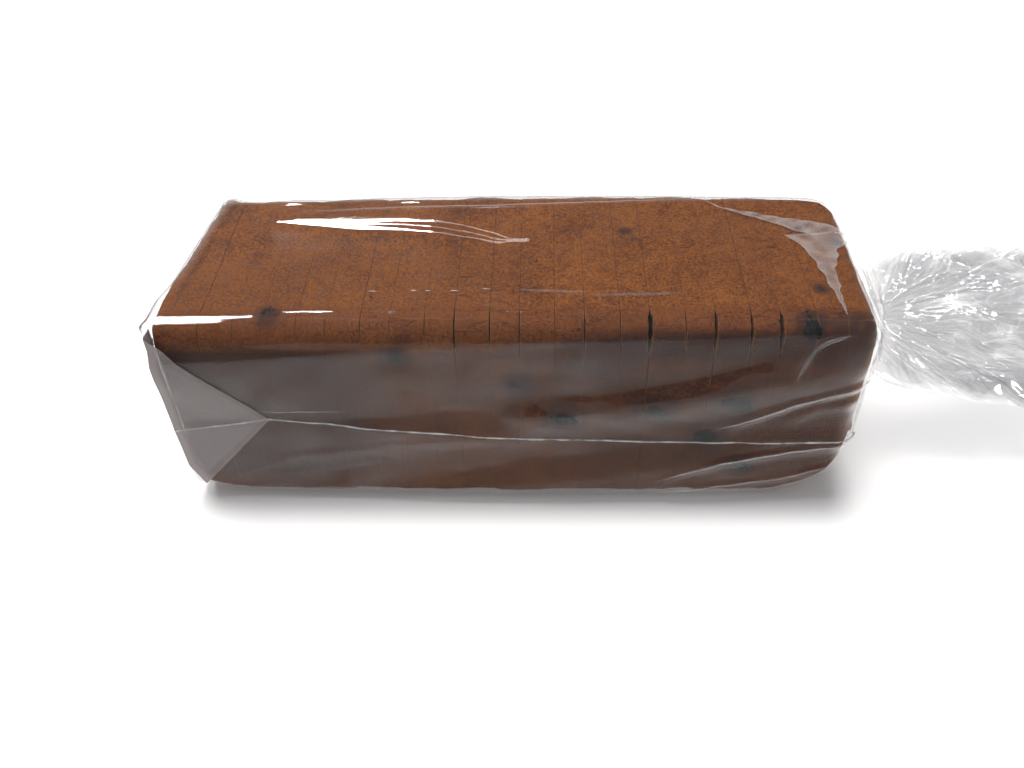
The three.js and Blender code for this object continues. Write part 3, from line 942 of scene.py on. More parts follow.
def fruit_body(centre, outward, radius, seed):
    """Points and faces of one fruit: a sphere in polar rings, its radius ridged by waves, a little
    longer than wide and pressed flat along its outward direction."""
    polar = np.linspace(0, np.pi, FRUIT_ROWS + 2)[1:-1, None]
    round_it = np.linspace(0, 2 * np.pi, FRUIT_COLUMNS, endpoint=False)[None, :]
    ball = np.stack([np.sin(polar) * np.cos(round_it), np.sin(polar) * np.sin(round_it),
                     np.cos(polar) + 0 * round_it], -1)
    fold = 1 - np.abs(wavy(ball, 0.75, seed, 9)) * 0.13 + 0.05 * wavy(ball, 0.35, seed + 1, 9)
    rng = np.random.default_rng(seed)
    ball = ball * fold[..., None] * radius * np.array([FRUIT_LONG, rng.uniform(*FRUIT_SLIM), FRUIT_FLAT])
    n = np.array(outward, float)
    n /= np.linalg.norm(n)
    side = np.cross(n, [0.3, 0.2, 1] if abs(n[2]) < 0.9 else [1, 0.3, 0])
    side /= np.linalg.norm(side)
    turn = rng.uniform(-0.35, 0.35)
    side, other = (np.cos(turn) * side + np.sin(turn) * np.cross(n, side),
                   -np.sin(turn) * side + np.cos(turn) * np.cross(n, side))
    return closed_rings(np.array(centre) + ball @ np.stack([side, other, n]))


def join(parts):
    """Several lists of points and faces as one."""
    points, faces, start = [], [], 0
    for p, f in parts:
        points.append(p)
        faces += [g + start for g in f]
        start += len(p)
    return np.concatenate(points), faces


bodies = [fruit_body(*place, seed=300 + 2 * k) for k, place in enumerate(fruits)]
dried_fruit = add_mesh("dried_fruit", *join(bodies), fruit_material())
print("dried fruit faces:", len(dried_fruit.data.polygons))

# %% [markdown]
# ## Clear film
#
# Film could be glass with a thickness, but a path tracer then bends every ray through it for
# nothing. Real film barely bends light: it lets almost all of it through, mirrors a few percent, and
# more at a slant. So the shader mixes a clear surface with a mirror. The share of mirror follows the
# usual curve: the straight-on value plus the rest times the fifth power of the slant. A little
# white scatter, from a per-point number called "haze_and_sheen", is for film that is stretched white
# along a crease or that lies in many layers, and it also paints reflection and sheen: the grey veil
# that the near side mirrors from the table, highlights along fold crests, and the lifted far rims.

# %% Film materials
MIRROR_BODY, MIRROR_FOLDED, MIRROR_TAIL = 0.006, 0.012, 0.045
HAZE_FULL = 0.55


def film_material(name, mirror, tint=(0.985, 0.985, 0.985, 1), gloss=0.035, milk=(0.9, 0.887, 0.887, 1),
                  shaded=False):
    """Clear film that mirrors the share `mirror` of light that falls straight on each side, with
    a scatter of the colour `milk`. Shaded film is only tinted as far as the points say with
    dim, which holds painted shade."""
    material = bpy.data.materials.new(name)
    tree = Tree(material)
    slant = tree.add("LayerWeight", {"Blend": 0.5}).outputs["Facing"]
    share = tree.math("MULTIPLY_ADD", tree.math("POWER", slant, 5.0), 1 - mirror, mirror)
    shade = tree.mixed(tree.on_points("dim"), (1, 1, 1, 1), tint) if shaded else tint
    clear = tree.add("BsdfTransparent", {"Color": shade})
    shine = tree.add("BsdfGlossy", {"Color": (1, 1, 1, 1), "Roughness": gloss})
    white = tree.add("BsdfDiffuse", {"Color": milk})
    # white scatter: real milkiness, and painted reflection and sheen where the points say
    haze_and_sheen = tree.math("MULTIPLY", tree.on_points("haze_and_sheen"), HAZE_FULL)
    tree.shown(tree.blended(haze_and_sheen, tree.blended(share, clear, shine), white))
    return material


clear_film = film_material("clear_film", MIRROR_BODY)
folded_film = film_material("folded_film", MIRROR_FOLDED, milk=(0.43, 0.385, 0.38, 1))
tail_film = film_material("gathered_film", MIRROR_TAIL, tint=(0.80, 0.80, 0.805, 1), gloss=0.015,
                          shaded=True)
print("film finishes:", [material.name for material in (clear_film, folded_film, tail_film)])

# %% [markdown]
# ## Folds in the side film
#
# Slack film stands off the bread in long folds that run up towards the heel. Seen from above, the
# side film mirrors the bright table, except where a fold tips it up: there it mirrors the dim room
# and looks clear and dark. So each fold is a saw tooth: it leans out going down, from its upper path
# to its crest, and sinks back slowly below. The paths were read off the picture, as x and height.

# %% Fold paths
HAZE_LIMIT = ((-4, 81.8), (0.1, 82.1), (60, 85.4), (134.5, 90.6), (272.7, 96.6))
BAND_1_UPPER = ((128, 56), (140.9, 60.7), (149.8, 62.9), (165.7, 65.6), (181.7, 66.9), (212.6, 73.9),
                (236.9, 82.7), (270.2, 94.2))
BAND_1_LOWER = ((128, 51), (140.7, 52.7), (157.9, 54.4), (190.1, 60.3), (213.6, 64.7), (244, 72.3),
                (276.1, 81.6))
BAND_2_UPPER = ((42.7, 7.7), (87.9, 12.6), (132.4, 23.2), (179.3, 32.7), (216.5, 38.2), (249.9, 37.1))
BAND_2_LOWER = ((42.7, 4), (96.3, 6.6), (132, 11.5), (180, 18.2), (217.9, 26), (242.5, 31))
FOLD_A = ((222, 44.2), (231.7, 48.9), (254, 60.3), (278.8, 69.6))
FOLD_B = ((197.6, 13.1), (209.9, 20.9), (226.2, 27.2), (258.9, 32.9), (282.2, 36.6))
FOLD_C = ((193.8, 5.1), (219.7, 9.2), (253.5, 15.2), (277.4, 23.6))
FOLD_D = ((244.0, 53.0), (254.2, 57.9), (261.4, 61.8), (278.0, 65.0))
FOLD_E = ((228.0, 40.5), (242.5, 43.5), (256.6, 44.7), (278.0, 45.3))
CURL = ((249.5, 74.5), (251.2, 78.9), (254.2, 87.1), (259.4, 91.6), (264.7, 94.6))
LIGHT_BAND = ((10.4, 13.4), (46.5, 28.4), (77.4, 33.5), (103.4, 37.8), (133.0, 42.7))
LIGHT_BAND_2 = ((16.6, 10.8), (58.0, 18.8), (89.6, 27.3), (111.4, 32.3))
WEDGE_UPPER = ((58, 49.8), (79.6, 51.5), (94.3, 52.9), (113, 55.8), (126.9, 55.6),
               (137, 50.4), (146, 44))
SEAM_PATH = tuple((x, float(seam_height(x)) - 0.2) for x in range(38, 282, 6))


def path_at(path, x):
    """Height of a path at x, straight between its points."""
    return np.interp(x, [p[0] for p in path], [p[1] for p in path])


def shifted(path, up):
    """The path moved up."""
    return tuple((x, h + up) for x, h in path)


def along(x, start, end, fade):
    """1 from start to end, with a soft rise and fall over fade."""
    return smooth(x, start, start + fade) * (1 - smooth(x, end - fade, end))


def saw_fold(x, h, upper, crest, height, reach):
    """Stand-off of one fold: 0 above its upper path, rising in a straight line to height at its
    crest, and sinking back over reach below it."""
    top, low = path_at(upper, x), path_at(crest, x)
    rise = np.clip((top - h) / (top - low), 0, 1)
    return height * rise * (1 - smooth(low - h, 0, reach))


print("near seam from", round(SEAM_PATH[0][1], 1), "to", round(SEAM_PATH[-1][1], 1), "mm up")

# %% Folds and painted reflection haze of the near side
PAST_HEEL = 330  # a fold that runs on round the heel ends here
NEAR_FOLDS = (  # upper path, crest, height, reach below it, start, end, and how softly it starts
    (BAND_1_UPPER, BAND_1_LOWER, 2.8, 20, 126, PAST_HEEL, 22),
    (BAND_2_UPPER, BAND_2_LOWER, 2.4, 24, 50, 262, 40),
    (WEDGE_UPPER, SEAM_PATH, 0.9, 12, 60, 146, 20),
    (shifted(FOLD_A, 2.6), FOLD_A, 1.3, 6, 222, PAST_HEEL, 16),
    (shifted(FOLD_B, 2.4), FOLD_B, 1.2, 7, 197, PAST_HEEL, 16),
    (shifted(FOLD_C, 2.2), FOLD_C, 1.0, 6, 194, PAST_HEEL, 20),
    (FOLD_D, shifted(FOLD_D, -4.0), 1.1, 9, 244, PAST_HEEL, 14),
    (FOLD_E, shifted(SEAM_PATH, 1.5), 1.0, 8, 228, PAST_HEEL, 16),
    (shifted(LIGHT_BAND, 2.5), LIGHT_BAND, 0.7, 8, 6, 140, 20),
)
# bands left out of the painted reflection veil, where folds tip the film up
CLEAR_BANDS = (  # upper and lower path, their soft edges, and where the band starts
    (BAND_1_UPPER, BAND_1_LOWER, (-1, 1.5), (-1, 1.5), (124, 142)),
    (BAND_2_UPPER, BAND_2_LOWER, (-1.5, 1.5), (-2, 2), (60, 110)),
    (FOLD_D, shifted(FOLD_D, -5), (-0.5, 0.5), (-1, 1), (244, 256)),
    (FOLD_E, shifted(SEAM_PATH, 1.5), (-0.5, 0.5), (-0.4, 0.4), (228, 240)),
)
LEAN, CORNER_OUT = 0.38, 0.4
# the painted reflection veil of the table below the haze limit, and the faint haze above it
TABLE_REFLECTION_HAZE, ABOVE_LIMIT_HAZE = 0.056, 0.012


def near_stand(x, z, high):
    """How far the film stands off the near side at x and z, in mm: the folds above, and the lean
    from the bag's near upper corner at the closed end."""
    d = sum(saw_fold(x, z, upper, crest, height, reach) * along(x, start, end, fade)
            for upper, crest, height, reach, start, end, fade in NEAR_FOLDS)
    lean = LEAN * (1 - smooth(x, 40, 130))
    limit = path_at(HAZE_LIMIT, x)
    edge_foot = high - EDGE_ROUND
    rise = lean * np.clip(edge_foot - z, 0, np.maximum(edge_foot - limit, 0))
    return d + (rise + CORNER_OUT * corner_weight(x)) * (1 - smooth(limit - z, 0, 34))


def between(x, z, upper, lower, soft_up, soft_low):
    """1 between two paths, with soft edges, each from where it starts to where it ends."""
    return smooth(path_at(upper, x) - z, *soft_up) * smooth(z - path_at(lower, x), *soft_low)


def near_reflection_haze(x, z):
    """The near film's haze, most of it a painted reflection of the bright table: a grey veil below the
    haze limit, left out in the dark bands and weaker at the foot, with a pale strip, light bands and a
    grey patch at the heel, and white lines along the creases, painted highlights partly of pressed film."""
    limit = smooth(path_at(HAZE_LIMIT, x) - z, -0.6, 0.8)
    clear = between(x, z, WEDGE_UPPER, SEAM_PATH, (-0.8, 1.0), (-0.4, 0.4)) * along(x, 60, 146, 14)
    for upper, lower, soft_up, soft_low, start in CLEAR_BANDS:
        clear = np.maximum(clear, between(x, z, upper, lower, soft_up, soft_low) * smooth(x, *start))
    foot = mix(0.4, 1, smooth(z, 1.5, 6))
    cloud = 1 + 0.25 * wavy(np.stack([x * 0.5, z + 0 * x], -1), 14, 71)
    thin = (1 - 0.62 * smooth(x, 150, 215)) * (1 - 0.4 * along(x, 90, 210, 30) * (1 - smooth(z, 38, 54)))
    haze_and_sheen = TABLE_REFLECTION_HAZE * limit * (1 - 0.97 * clear) * foot * cloud * thin + ABOVE_LIMIT_HAZE * (1 - limit)
    haze_and_sheen = haze_and_sheen + 0.045 * along(x, 262, 300, 7) * along(z, 70, 90, 6)
    haze_and_sheen = haze_and_sheen + 0.09 * smooth(x, 177, 181) * (1 - smooth(z, 6, 11)) * (1 - smooth(x, 236, 262))
    haze_and_sheen = haze_and_sheen + 0.035 * bell(z, path_at(LIGHT_BAND, x), 2.2) * along(x, 8, 138, 25)
    haze_and_sheen = haze_and_sheen + 0.035 * bell(z, path_at(LIGHT_BAND_2, x), 1.6) * along(x, 12, 116, 25)
    haze_and_sheen = haze_and_sheen + 0.06 * bell(x, path_at([(h, at) for at, h in CURL], z), 1.6) * along(z, 73, 96, 5)
    # painted highlight: white lines along the crests of three folds, partly pressed film
    for path, start, gain, reach in ((FOLD_A, 222, 0.11, 2.6), (FOLD_B, 197, 0.10, 2.4),
                                     (FOLD_C, 194, 0.08, 2.2)):
        below = path_at(path, x) - z
        crest = bell(np.maximum(below, 0), 0, reach) * smooth(below, -0.5, 0.3)
        haze_and_sheen = haze_and_sheen + gain * crest * along(x, start, PAST_HEEL, 24)
    return np.clip(haze_and_sheen, 0, 1)


print(len(NEAR_FOLDS), "folds,", len(CLEAR_BANDS) + 1, "clear bands on the near side")

# %% [markdown]
# ## Corner, top and ripples
#
# At the closed end the bag's corner is a sharp tip and the film runs from there as flat facets: one
# tips slightly to the near side and catches the main light as a white line along the edge, the next
# leans down the near side. In polar form round the edge's centre, a flat facet is its distance
# divided by the cosine of the angle to its normal, and the film takes the smaller of the two.
#
# On the top, the film is stretched flat in one long leaf and falls off very slightly around it.
# Only the leaf mirrors the window, so it is a white streak with the leaf's outline.

# %% Corner and top film
FACET_TILT, LEAN_TILT = math.radians(77.2), math.radians(20.8)
FACET_AT, LEAN_AT, FACET_JOIN = 9.75, 9.72, 2.2
LEAF_UPPER = ((31.6, 72.9), (44.4, 75.1), (66.3, 76.4), (88.5, 75.4), (106.2, 72.8), (119.6, 66.5),
              (132.8, 58.1))
LEAF_LOWER = ((31.6, 72.6), (45.5, 69.6), (67.9, 65.5), (89.7, 63.8), (107.1, 61.3), (124.4, 58.2),
              (141.4, 53.6))
LEAF_SLOPE, LEAF_REACH = 0.035, 6.0
WEDGE_FROM, WEDGE_OPENS, WEDGE_HALF = 66, 0.085, 4.2  # the wedge that splits the leaf
BACK_LINE = ((40.4, 79.9), (96.6, 82.5), (127.6, 82.9), (154.9, 84.2), (220.3, 87.5))
RIDGE = 0.03


def corner_weight(x):
    """1 at the closed end's corner, falling to 0 where the film lies round the edge again."""
    return 1 - smooth(x, 24, 48)


def corner_stand(x, turn):
    """Stand-off over the near upper edge at an angle turn up from the near side: the smaller of the
    two facets' polar distances, softly joined, less the edge's radius."""
    facet = FACET_AT / np.cos(turn - FACET_TILT)
    lean = LEAN_AT / np.maximum(np.cos(turn - LEAN_TILT), 0.05)
    both = np.exp(-FACET_JOIN * (facet - EDGE_ROUND)) + np.exp(-FACET_JOIN * (lean - EDGE_ROUND))
    return corner_weight(x) * np.clip(-np.log(both) / FACET_JOIN, -0.2, 4)


def top_stand(x, y):
    """Height of the top film over its plane, in mm: it falls off around the flat leaf, and again
    inside the wedge that splits the leaf's right part. A low ridge runs along the back line."""
    upper, lower = path_at(LEAF_UPPER, x), path_at(LEAF_LOWER, x)
    upper = np.maximum(upper, lower)
    out = np.maximum(np.maximum(lower - y, y - upper), 0)
    fall = LEAF_SLOPE * LEAF_REACH * (1 - np.exp(-out / LEAF_REACH))
    middle = mix(upper, lower, 0.55)
    half = np.clip((x - WEDGE_FROM) * WEDGE_OPENS, 0, WEDGE_HALF) * (1 - smooth(x, 130, 141))
    groove = LEAF_SLOPE * np.clip(half - np.abs(y - middle), 0, None)
    ridge = RIDGE * bell(y, path_at(BACK_LINE, x), 1.1) * along(x, 42, 235, 50)
    slow = wavy(np.stack([x * 0.3, y + 0 * x], -1), 30, 61)
    sag = 0.10 * slow * smooth(out, 6, 22) * smooth(x, 120, 200)
    return -fall - groove + ridge + sag


FAR_SLACK, FAR_FOLDS = 0.6, 5


def far_stand(x, z):
    """Stand-off at the far side: long saw folds like those of the near side, at seeded heights."""
    rng = np.random.default_rng(29)
    d = FAR_SLACK + 0 * x * z
    for _ in range(FAR_FOLDS):
        start, low = rng.uniform(-10, 190), rng.uniform(4, 70)
        path = ((start, low), (start + 130, low + rng.uniform(6, 26)))
        upper = shifted(path, rng.uniform(4, 9))
        fold = saw_fold(x, z, upper, path, rng.uniform(0.8, 1.8), rng.uniform(8, 20))
        d = d + fold * along(x, start, start + 150, 40)
    return d


def ripple(points):
    """Small unevenness of the whole film, in mm: soft ripples drawn out along the loaf and a little
    crumple. It is kept low on the flat leaf so that the streak stays whole."""
    x, y, z = points[..., 0], points[..., 1], points[..., 2]
    drawn = points * np.array([0.45, 1, 1])
    top = smooth(z, 93, 97) * smooth(y, 8, 14) * (1 - smooth(y, 86, 92))
    edge = smooth(z, 88, 93) * (1 - smooth(y, 9, 14)) * (1 - smooth(x, 36, 60))
    calm = 1 - np.maximum(top * mix(0.95, 0.75, smooth(x, 140, 200)), edge * 0.7)
    return (0.10 * wavy(drawn, 16, 41) + 0.035 * crumpled(drawn, 9, 42)) * calm


print("the top film falls off by", round(LEAF_SLOPE * LEAF_REACH, 2), "mm around the flat leaf")

# %% Film grids
FILM_GROW, FILM_GAP, FILM_FLOOR, FILM_THICKNESS, FILM_END = 0.35, 3.3, 0.07, 0.1, 280.0
RIM_DRAWN, RIM_LOWERED = 1.5, 0.9  # the closed end's upper rim is drawn in over the bread's edge
TIP_OUT, TIP_UP = 3.2, 0.8  # the bag's near upper corner stands out as a tip
UPPER_PANEL = (("near_up", 44), ("near_top", 14), ("top", 70), ("far_top", 8), ("far_up", 24))
LOWER_PANEL = (("far_down", 20), ("far_low", 8), ("bottom", 34), ("near_low", 10), ("near_down", 36))
HEEL_FROM = LOAF_LENGTH + HEEL_OUT - HEEL_LOW_ROUND
HEEL_ANGLE = math.asin((FILM_END - HEEL_FROM) / HEEL_LOW_ROUND)
FILM_X = np.concatenate([
    np.linspace(-FILM_GAP, HEEL_FROM, 178),
    HEEL_FROM + HEEL_LOW_ROUND * np.sin(np.linspace(0, HEEL_ANGLE, 36)[1:]),
])
CREASE_GROOVE, GROOVE_SUNK, CREASE_MARGIN = 1.2, 0.36, 0.8
FLAP_SHARES = np.linspace(1, 0, 24)[:-1]
SHOULDER_SHARES = np.linspace(0, 1, 30)[1:]
NECK_SHARES = np.linspace(0, 1, 4)[1:]
SETBACK_SHARE, SETBACK_TO = 0.98, 45  # the film follows the set-back end, less and less up to here
RIPPLE_ON_FLAP, CALM_ROWS = 0.6, 6
# painted sheen: white haze on the film that lifts the far rims and the closed end's upper rim
FAR_RIM_SHEEN, END_RIM_SHEEN = 0.66, 0.22  # light from behind lifts the far rims


def pleat(angle):
    """Gathers round the neck, in mm: triangle waves of nine, fourteen and twenty-three turns."""
    turn = angle / (2 * np.pi)
    wide, middle = triangle(9 * turn + 0.1), triangle(14 * turn + 0.63)
    return 0.75 * wide + 0.55 * middle + 0.4 * triangle(23 * turn + 0.28)


def loaf_film(stretches):
    """The film round the loaf: the section's rings moved out along their normals by the folds."""
    section = film_section(FILM_X, FILM_GROW)
    grid = section_rows(FILM_X, stretches, section, closed=False)
    normal = grid_normals(grid)
    stand = np.zeros(grid.shape[:2])
    x, y, z = np.moveaxis(grid, -1, 0)
    drawn = np.exp(-(x + FILM_GAP) / 3) * smooth(y, 8, 34) * smooth(z, 88, 96)
    x += RIM_DRAWN * drawn
    z -= RIM_LOWERED * drawn**2
    for name, steps in stretches:
        part = columns_of(stretches, name)
        px, py, pz = x[:, part], y[:, part], z[:, part]
        q = np.linspace(0, 1, steps + 1)[None, :]
        if name in ("near_up", "near_down"):
            stand[:, part] = near_stand(px, pz, section["high"])
        elif name == "near_low":
            low = near_stand(FILM_X[:, None], section["low"] + section["low_round"], section["high"])
            stand[:, part] = low * q**1.5
        elif name == "near_top":
            folds = near_stand(px, pz, section["high"]) * np.cos(q * np.pi / 2)
            corner = corner_stand(px, q * np.pi / 2)
            stand[:, part] = mix(folds, corner, corner_weight(px))
        elif name == "top":
            stand[:, part] = top_stand(px, py)
        elif name in ("far_up", "far_down"):
            stand[:, part] = far_stand(px, pz)
        elif name == "far_low":
            stand[:, part] = FAR_SLACK * (1 - q)
        elif name == "far_top":
            before = stand[:, part.start - 1:part.start]
            stand[:, part] = mix(before, far_stand(px, section["high"] - 8), q)
    grid = grid + normal * stand[..., None]
    tip = bell(x, -END_GAP, 5) * bell(y, 1, 4) * bell(z, 97, 4)
    grid[..., 0] -= TIP_OUT * tip
    grid[..., 2] += TIP_UP * tip
    return grid


def end_flap(rim, near, far):
    """The film over the closed end: straight lines from the crease across the end to the rim. A
    point of the rim that lies at a share of its length goes to the same share of the crease."""
    run = run_along(rim)
    share = run / run[-1]
    crease = np.stack([np.full(len(rim), rim[:, 0].max() + CREASE_GROOVE),
                       mix(near + CREASE_MARGIN, far - CREASE_MARGIN, share),
                       np.full(len(rim), SEAM_AT_END)], -1)
    s = FLAP_SHARES[:, None, None]
    flap = mix(rim, crease, s)
    s = s[..., 0]
    flap[..., 0] = mix(rim[:, 0], -FILM_GAP, smooth(s, 0, 0.06)) + GROOVE_SUNK * smooth(s, 0.96, 1)
    flap[..., 0] -= 0.3 * wavy(flap * [0, 1, 0.6], 26, 81) * smooth(s, 0, 0.3) * smooth(1 - s, 0, 0.2)
    return flap


def shoulder(ring):
    """The film from the heel to the neck: each point of the last ring runs to the neck's circle
    while it turns a little round it, and the gathers grow on the way. The spread from the neck is 1
    less the share to the power of the shoulder's fullness."""
    start = np.unwrap(np.arctan2(ring[:, 2] - NECK[2], ring[:, 1] - NECK[1]))[None, :]
    s = np.concatenate([SHOULDER_SHARES, 1 + NECK_SHARES])[:, None]
    share = np.minimum(s, 1)
    spread = 1 - share ** SHOULDER_FULLNESS
    turn = start + NECK_TURN * share**2
    lift = 1.6 * pleat(start) * np.minimum(1.6 * share, 1) * mix(1, 0.75, smooth(share, 0.7, 1))
    x = mix(FILM_END, NECK[0], share) + NECK_LENGTH * np.maximum(s - 1, 0) + 0 * turn
    y = mix(NECK[1] + NECK_RADIUS * np.cos(turn), ring[None, :, 1], spread) + lift * np.cos(turn)
    z = mix(NECK[2] + NECK_RADIUS * np.sin(turn), ring[None, :, 2], spread) + lift * np.sin(turn)
    return np.stack([x, y, z], -1)


def set_back(grid):
    """Moves the closed end back towards the far side, where the loaf is shorter."""
    back = SETBACK_SHARE * end_back(grid[..., 1])
    grid[..., 0] += back * (1 - smooth(grid[..., 0], -FILM_GAP, SETBACK_TO))
    return grid


def film_panel(stretches, upper):
    """A whole panel: end flap, loaf part, shoulder and neck, with ripples. The lower panel's crease
    runs the other way and a little beyond the upper one's."""
    loaf = loaf_film(stretches)
    section = film_section(np.array([-FILM_GAP]), FILM_GROW)
    near, far = (float(section[key][0, 0]) for key in ("near", "far"))
    if not upper:
        near, far = far - 2 * CREASE_MARGIN, near + 2 * CREASE_MARGIN
    flap = end_flap(loaf[0], near, far)
    grid = np.concatenate([flap, loaf, shoulder(loaf[-1])])
    fade = np.ones(len(grid))
    fade[:len(flap)] = RIPPLE_ON_FLAP
    fade[0] = 0
    fade[-CALM_ROWS:] = 0
    grid = grid + grid_normals(grid) * (ripple(grid) * fade[:, None])[..., None]
    grid[..., 2] = np.maximum(grid[..., 2], FILM_FLOOR)
    return set_back(grid), len(flap)


def panel_haze_and_sheen(grid):
    """Haze of a panel: the near side by its own rule, faint elsewhere, more at the gathers, and painted
    sheen at the far rims, the closed end's upper rim and along the back line."""
    x, y, z = np.moveaxis(grid, -1, 0)
    near_side = smooth(8 - y, 0, 7) * smooth(x, -2.6, -2.0) * (1 - smooth(x, 281, 284))
    haze_and_sheen = mix(0.006, near_reflection_haze(x, z), near_side)
    haze_and_sheen = haze_and_sheen + 0.05 * smooth(x, 281, 290) + FAR_RIM_SHEEN * smooth(y, 86, 98) * smooth(z, 91, 97)
    end_rim = (1 - smooth(x - end_back(y), -3, 4.5)) * smooth(z, 88, 96) * smooth(y, 16, 50)
    back = 0.05 * bell(y, path_at(BACK_LINE, x), 0.9) * along(x, 36, 235, 30) * smooth(z, 90, 96)
    return np.clip(haze_and_sheen + END_RIM_SHEEN * end_rim + back, 0, 1)


def thicken(piece):
    """Gives film its thickness, evenly to both sides."""
    wall = piece.modifiers.new("film_thickness", "SOLIDIFY")
    wall.thickness = FILM_THICKNESS / 1000
    wall.offset = 0
    return piece


def film_piece(name, grid, haze_and_sheen, material, flip=False, **more):
    """A sheet of film from a grid; flip turns its faces round. more holds further numbers."""
    if flip:
        grid, haze_and_sheen = grid[::-1], haze_and_sheen[::-1]
    rows, columns = grid.shape[:2]
    return thicken(add_mesh(name, grid.reshape(-1, 3), [grid_faces(rows, columns)], material,
                            {"haze_and_sheen": haze_and_sheen, **more}))


upper_grid, loaf_start = film_panel(UPPER_PANEL, True)
lower_grid, _ = film_panel(LOWER_PANEL, False)
film_upper = film_piece("film_upper", upper_grid, panel_haze_and_sheen(upper_grid), clear_film)
film_lower = film_piece("film_lower", lower_grid, panel_haze_and_sheen(lower_grid), clear_film)
print("film panels:", upper_grid.shape[:2], lower_grid.shape[:2])

# %% [markdown]
# ## Folded corners
#
# At the closed end the spare film of each side is folded into a triangle, like the end of a wrapped
# present, and lies on the loaf's side. It has several layers, so it looks grey and hides most of
# the bread. Each is a grid from the triangle's tip to its base, raised a little in the middle, and
# its base goes on round the corner of the bag.

# %% Ears
EAR_BASE = (  # height, x and stand-off down the base
    (EAR_TOP, -3.0, 0.5), (SEAM_AT_END, -3.7, 1.5), (22.0, -3.0, 0.9), (EAR_LOW, 1.5, 0.5),
)
EAR_KNOTS = (0, 0.5, 0.82, 1)
EAR_ROWS, EAR_COLUMNS = 46, 80
EAR_WRAP = np.array([0.8, 2.4, 4.5, 7.0])[:, None]  # how far each last row lies round the corner
INNER_SMALLER, INNER_BACK, INNER_LOWER = 0.12, 3, 0.2


def side_film(x, z, side):
    """y of the film on a side at x and z: side is -1 for near and 1 for far."""
    section = film_section(np.ravel(x), FILM_GROW)
    near, far, high = (section[key].reshape(np.shape(x)) for key in ("near", "far", "high"))
    return near - near_stand(x, z, high) if side < 0 else far + far_stand(x, z)


def ear_grid(side, under):
    """Grid of a folded corner: straight lines from its tip to its base, a ridge along the weld, and
    four rows that turn round the bag's corner. under draws a second layer in and sets it lower."""
    v = np.linspace(0, 1, EAR_COLUMNS + 1)
    base_z, base_x, base_stand = (np.interp(v, EAR_KNOTS, column)[None, :] for column in zip(*EAR_BASE))
    u = np.linspace(0.012, 1, EAR_ROWS)[:, None]
    z = mix(SEAM_AT_EAR, base_z, u * (1 - INNER_SMALLER * under))
    x = mix(EAR_TIP - INNER_BACK * under, base_x, u)
    stand = FILM_GROW + base_stand * u * (1 - 0.5 * under) - INNER_LOWER * under
    stand = stand + 0.12 * wavy(np.stack([x, z], -1), 18, 91 + under) * u
    grid = np.stack([x, side_film(x, z, side) + side * stand, z], -1)
    turned = np.repeat(grid[-1:], len(EAR_WRAP), axis=0)
    turned[..., 1] -= side * EAR_WRAP
    turned[..., 0] -= 0.3 * (EAR_WRAP <= 4)
    return set_back(np.concatenate([grid, turned]))


def ear_haze(grid, under):
    """An ear's milkiness: even, whiter round the corner, with a white line along both folded edges,
    a clear slit above the weld and two pressed lines."""
    v = np.linspace(0, 1, grid.shape[1])[None, :]
    u = np.linspace(0, 1, grid.shape[0])[:, None]
    edge = np.maximum(bell(v * u, 0, 0.012), bell((1 - v) * u, 0, 0.012))
    base = mix(0.40, 0.50, smooth(u, 0.0, 0.5)) * (0.9 if under else 1)
    base = base + 0.9 * smooth(u, 0.79, 0.88)
    slit = bell((v - 0.465) * u, 0, 0.022) * along(u, 0.02, 0.95, 0.3)
    pressed = bell((v - 0.40) * u, 0, 0.008) + bell((v - 0.33) * u, 0, 0.008)
    return np.clip(base + 0.10 * edge * (1 - under) - 0.22 * slit + 0.05 * pressed, 0, 1.6)


ears = []
for side, word in ((-1, "near"), (1, "far")):
    for under, layer in ((0, "outer"), (1, "inner")):
        grid = ear_grid(side, under)
        ears.append(film_piece(f"ear_{word}_{layer}", grid, ear_haze(grid, under), folded_film,
                               flip=side < 0))
print("ears:", [e.name for e in ears])

# %% [markdown]
# ## Welds
#
# The bag is two films melted together along both sides and across the closed end. The melted rib is
# whiter than the film and slightly beaded. Each is a tube along the edge that the panels share.

# %% Weld material and tubes
WELD_SIDES, WELD_STEP, FEWEST_POINTS = 8, 0.8, 4
WELD_HALF_WIDE, WELD_HALF_THICK, END_WELD_HALF_WIDE, END_WELD_HALF_THICK = 0.30, 0.22, 0.45, 0.25
ON_FILM, ON_EAR, EAR_RISE, EAR_BACK = 0.12, 0.45, 1.5, 3.5  # how far the side weld stands off
END_WELD_OUT = 0.15


def weld_material():
    """Milky melted film with a soft shine."""
    material = bpy.data.materials.new("film_weld")
    tree = Tree(material)
    place = tree.place()
    rib = tree.add("BsdfPrincipled", {"Base Color": (0.82, 0.81, 0.80, 1), "Roughness": 0.22})
    uneven = tree.ranged(tree.noise(place, 90, 3), 0.35, 0.65, 0.25, 0.75)
    tree.shown(tree.blended(uneven, tree.add("BsdfTransparent"), rib))
    return material


def tube(name, path, half_wide, half_thick, flat_way, material):
    """A closed tube with an oval section along a path: half_wide across and half_thick along
    flat_way, the direction in which it is flattened. Both may differ from point to point."""
    path = np.asarray(path, float)
    ahead = np.gradient(path, axis=0)
    ahead /= np.linalg.norm(ahead, axis=1, keepdims=True)
    thick = flat_way - ahead * (ahead @ flat_way)[:, None]
    thick /= np.maximum(np.linalg.norm(thick, axis=1, keepdims=True), 1e-9)
    wide = np.cross(ahead, thick)
    angle = np.linspace(0, 2 * np.pi, WELD_SIDES, endpoint=False)
    ring = (np.cos(angle)[None, :, None] * (wide * half_wide[:, None])[:, None, :]
            + np.sin(angle)[None, :, None] * (thick * half_thick[:, None])[:, None, :])
    return add_mesh(name, *closed_rings(path[:, None, :] + ring), material)


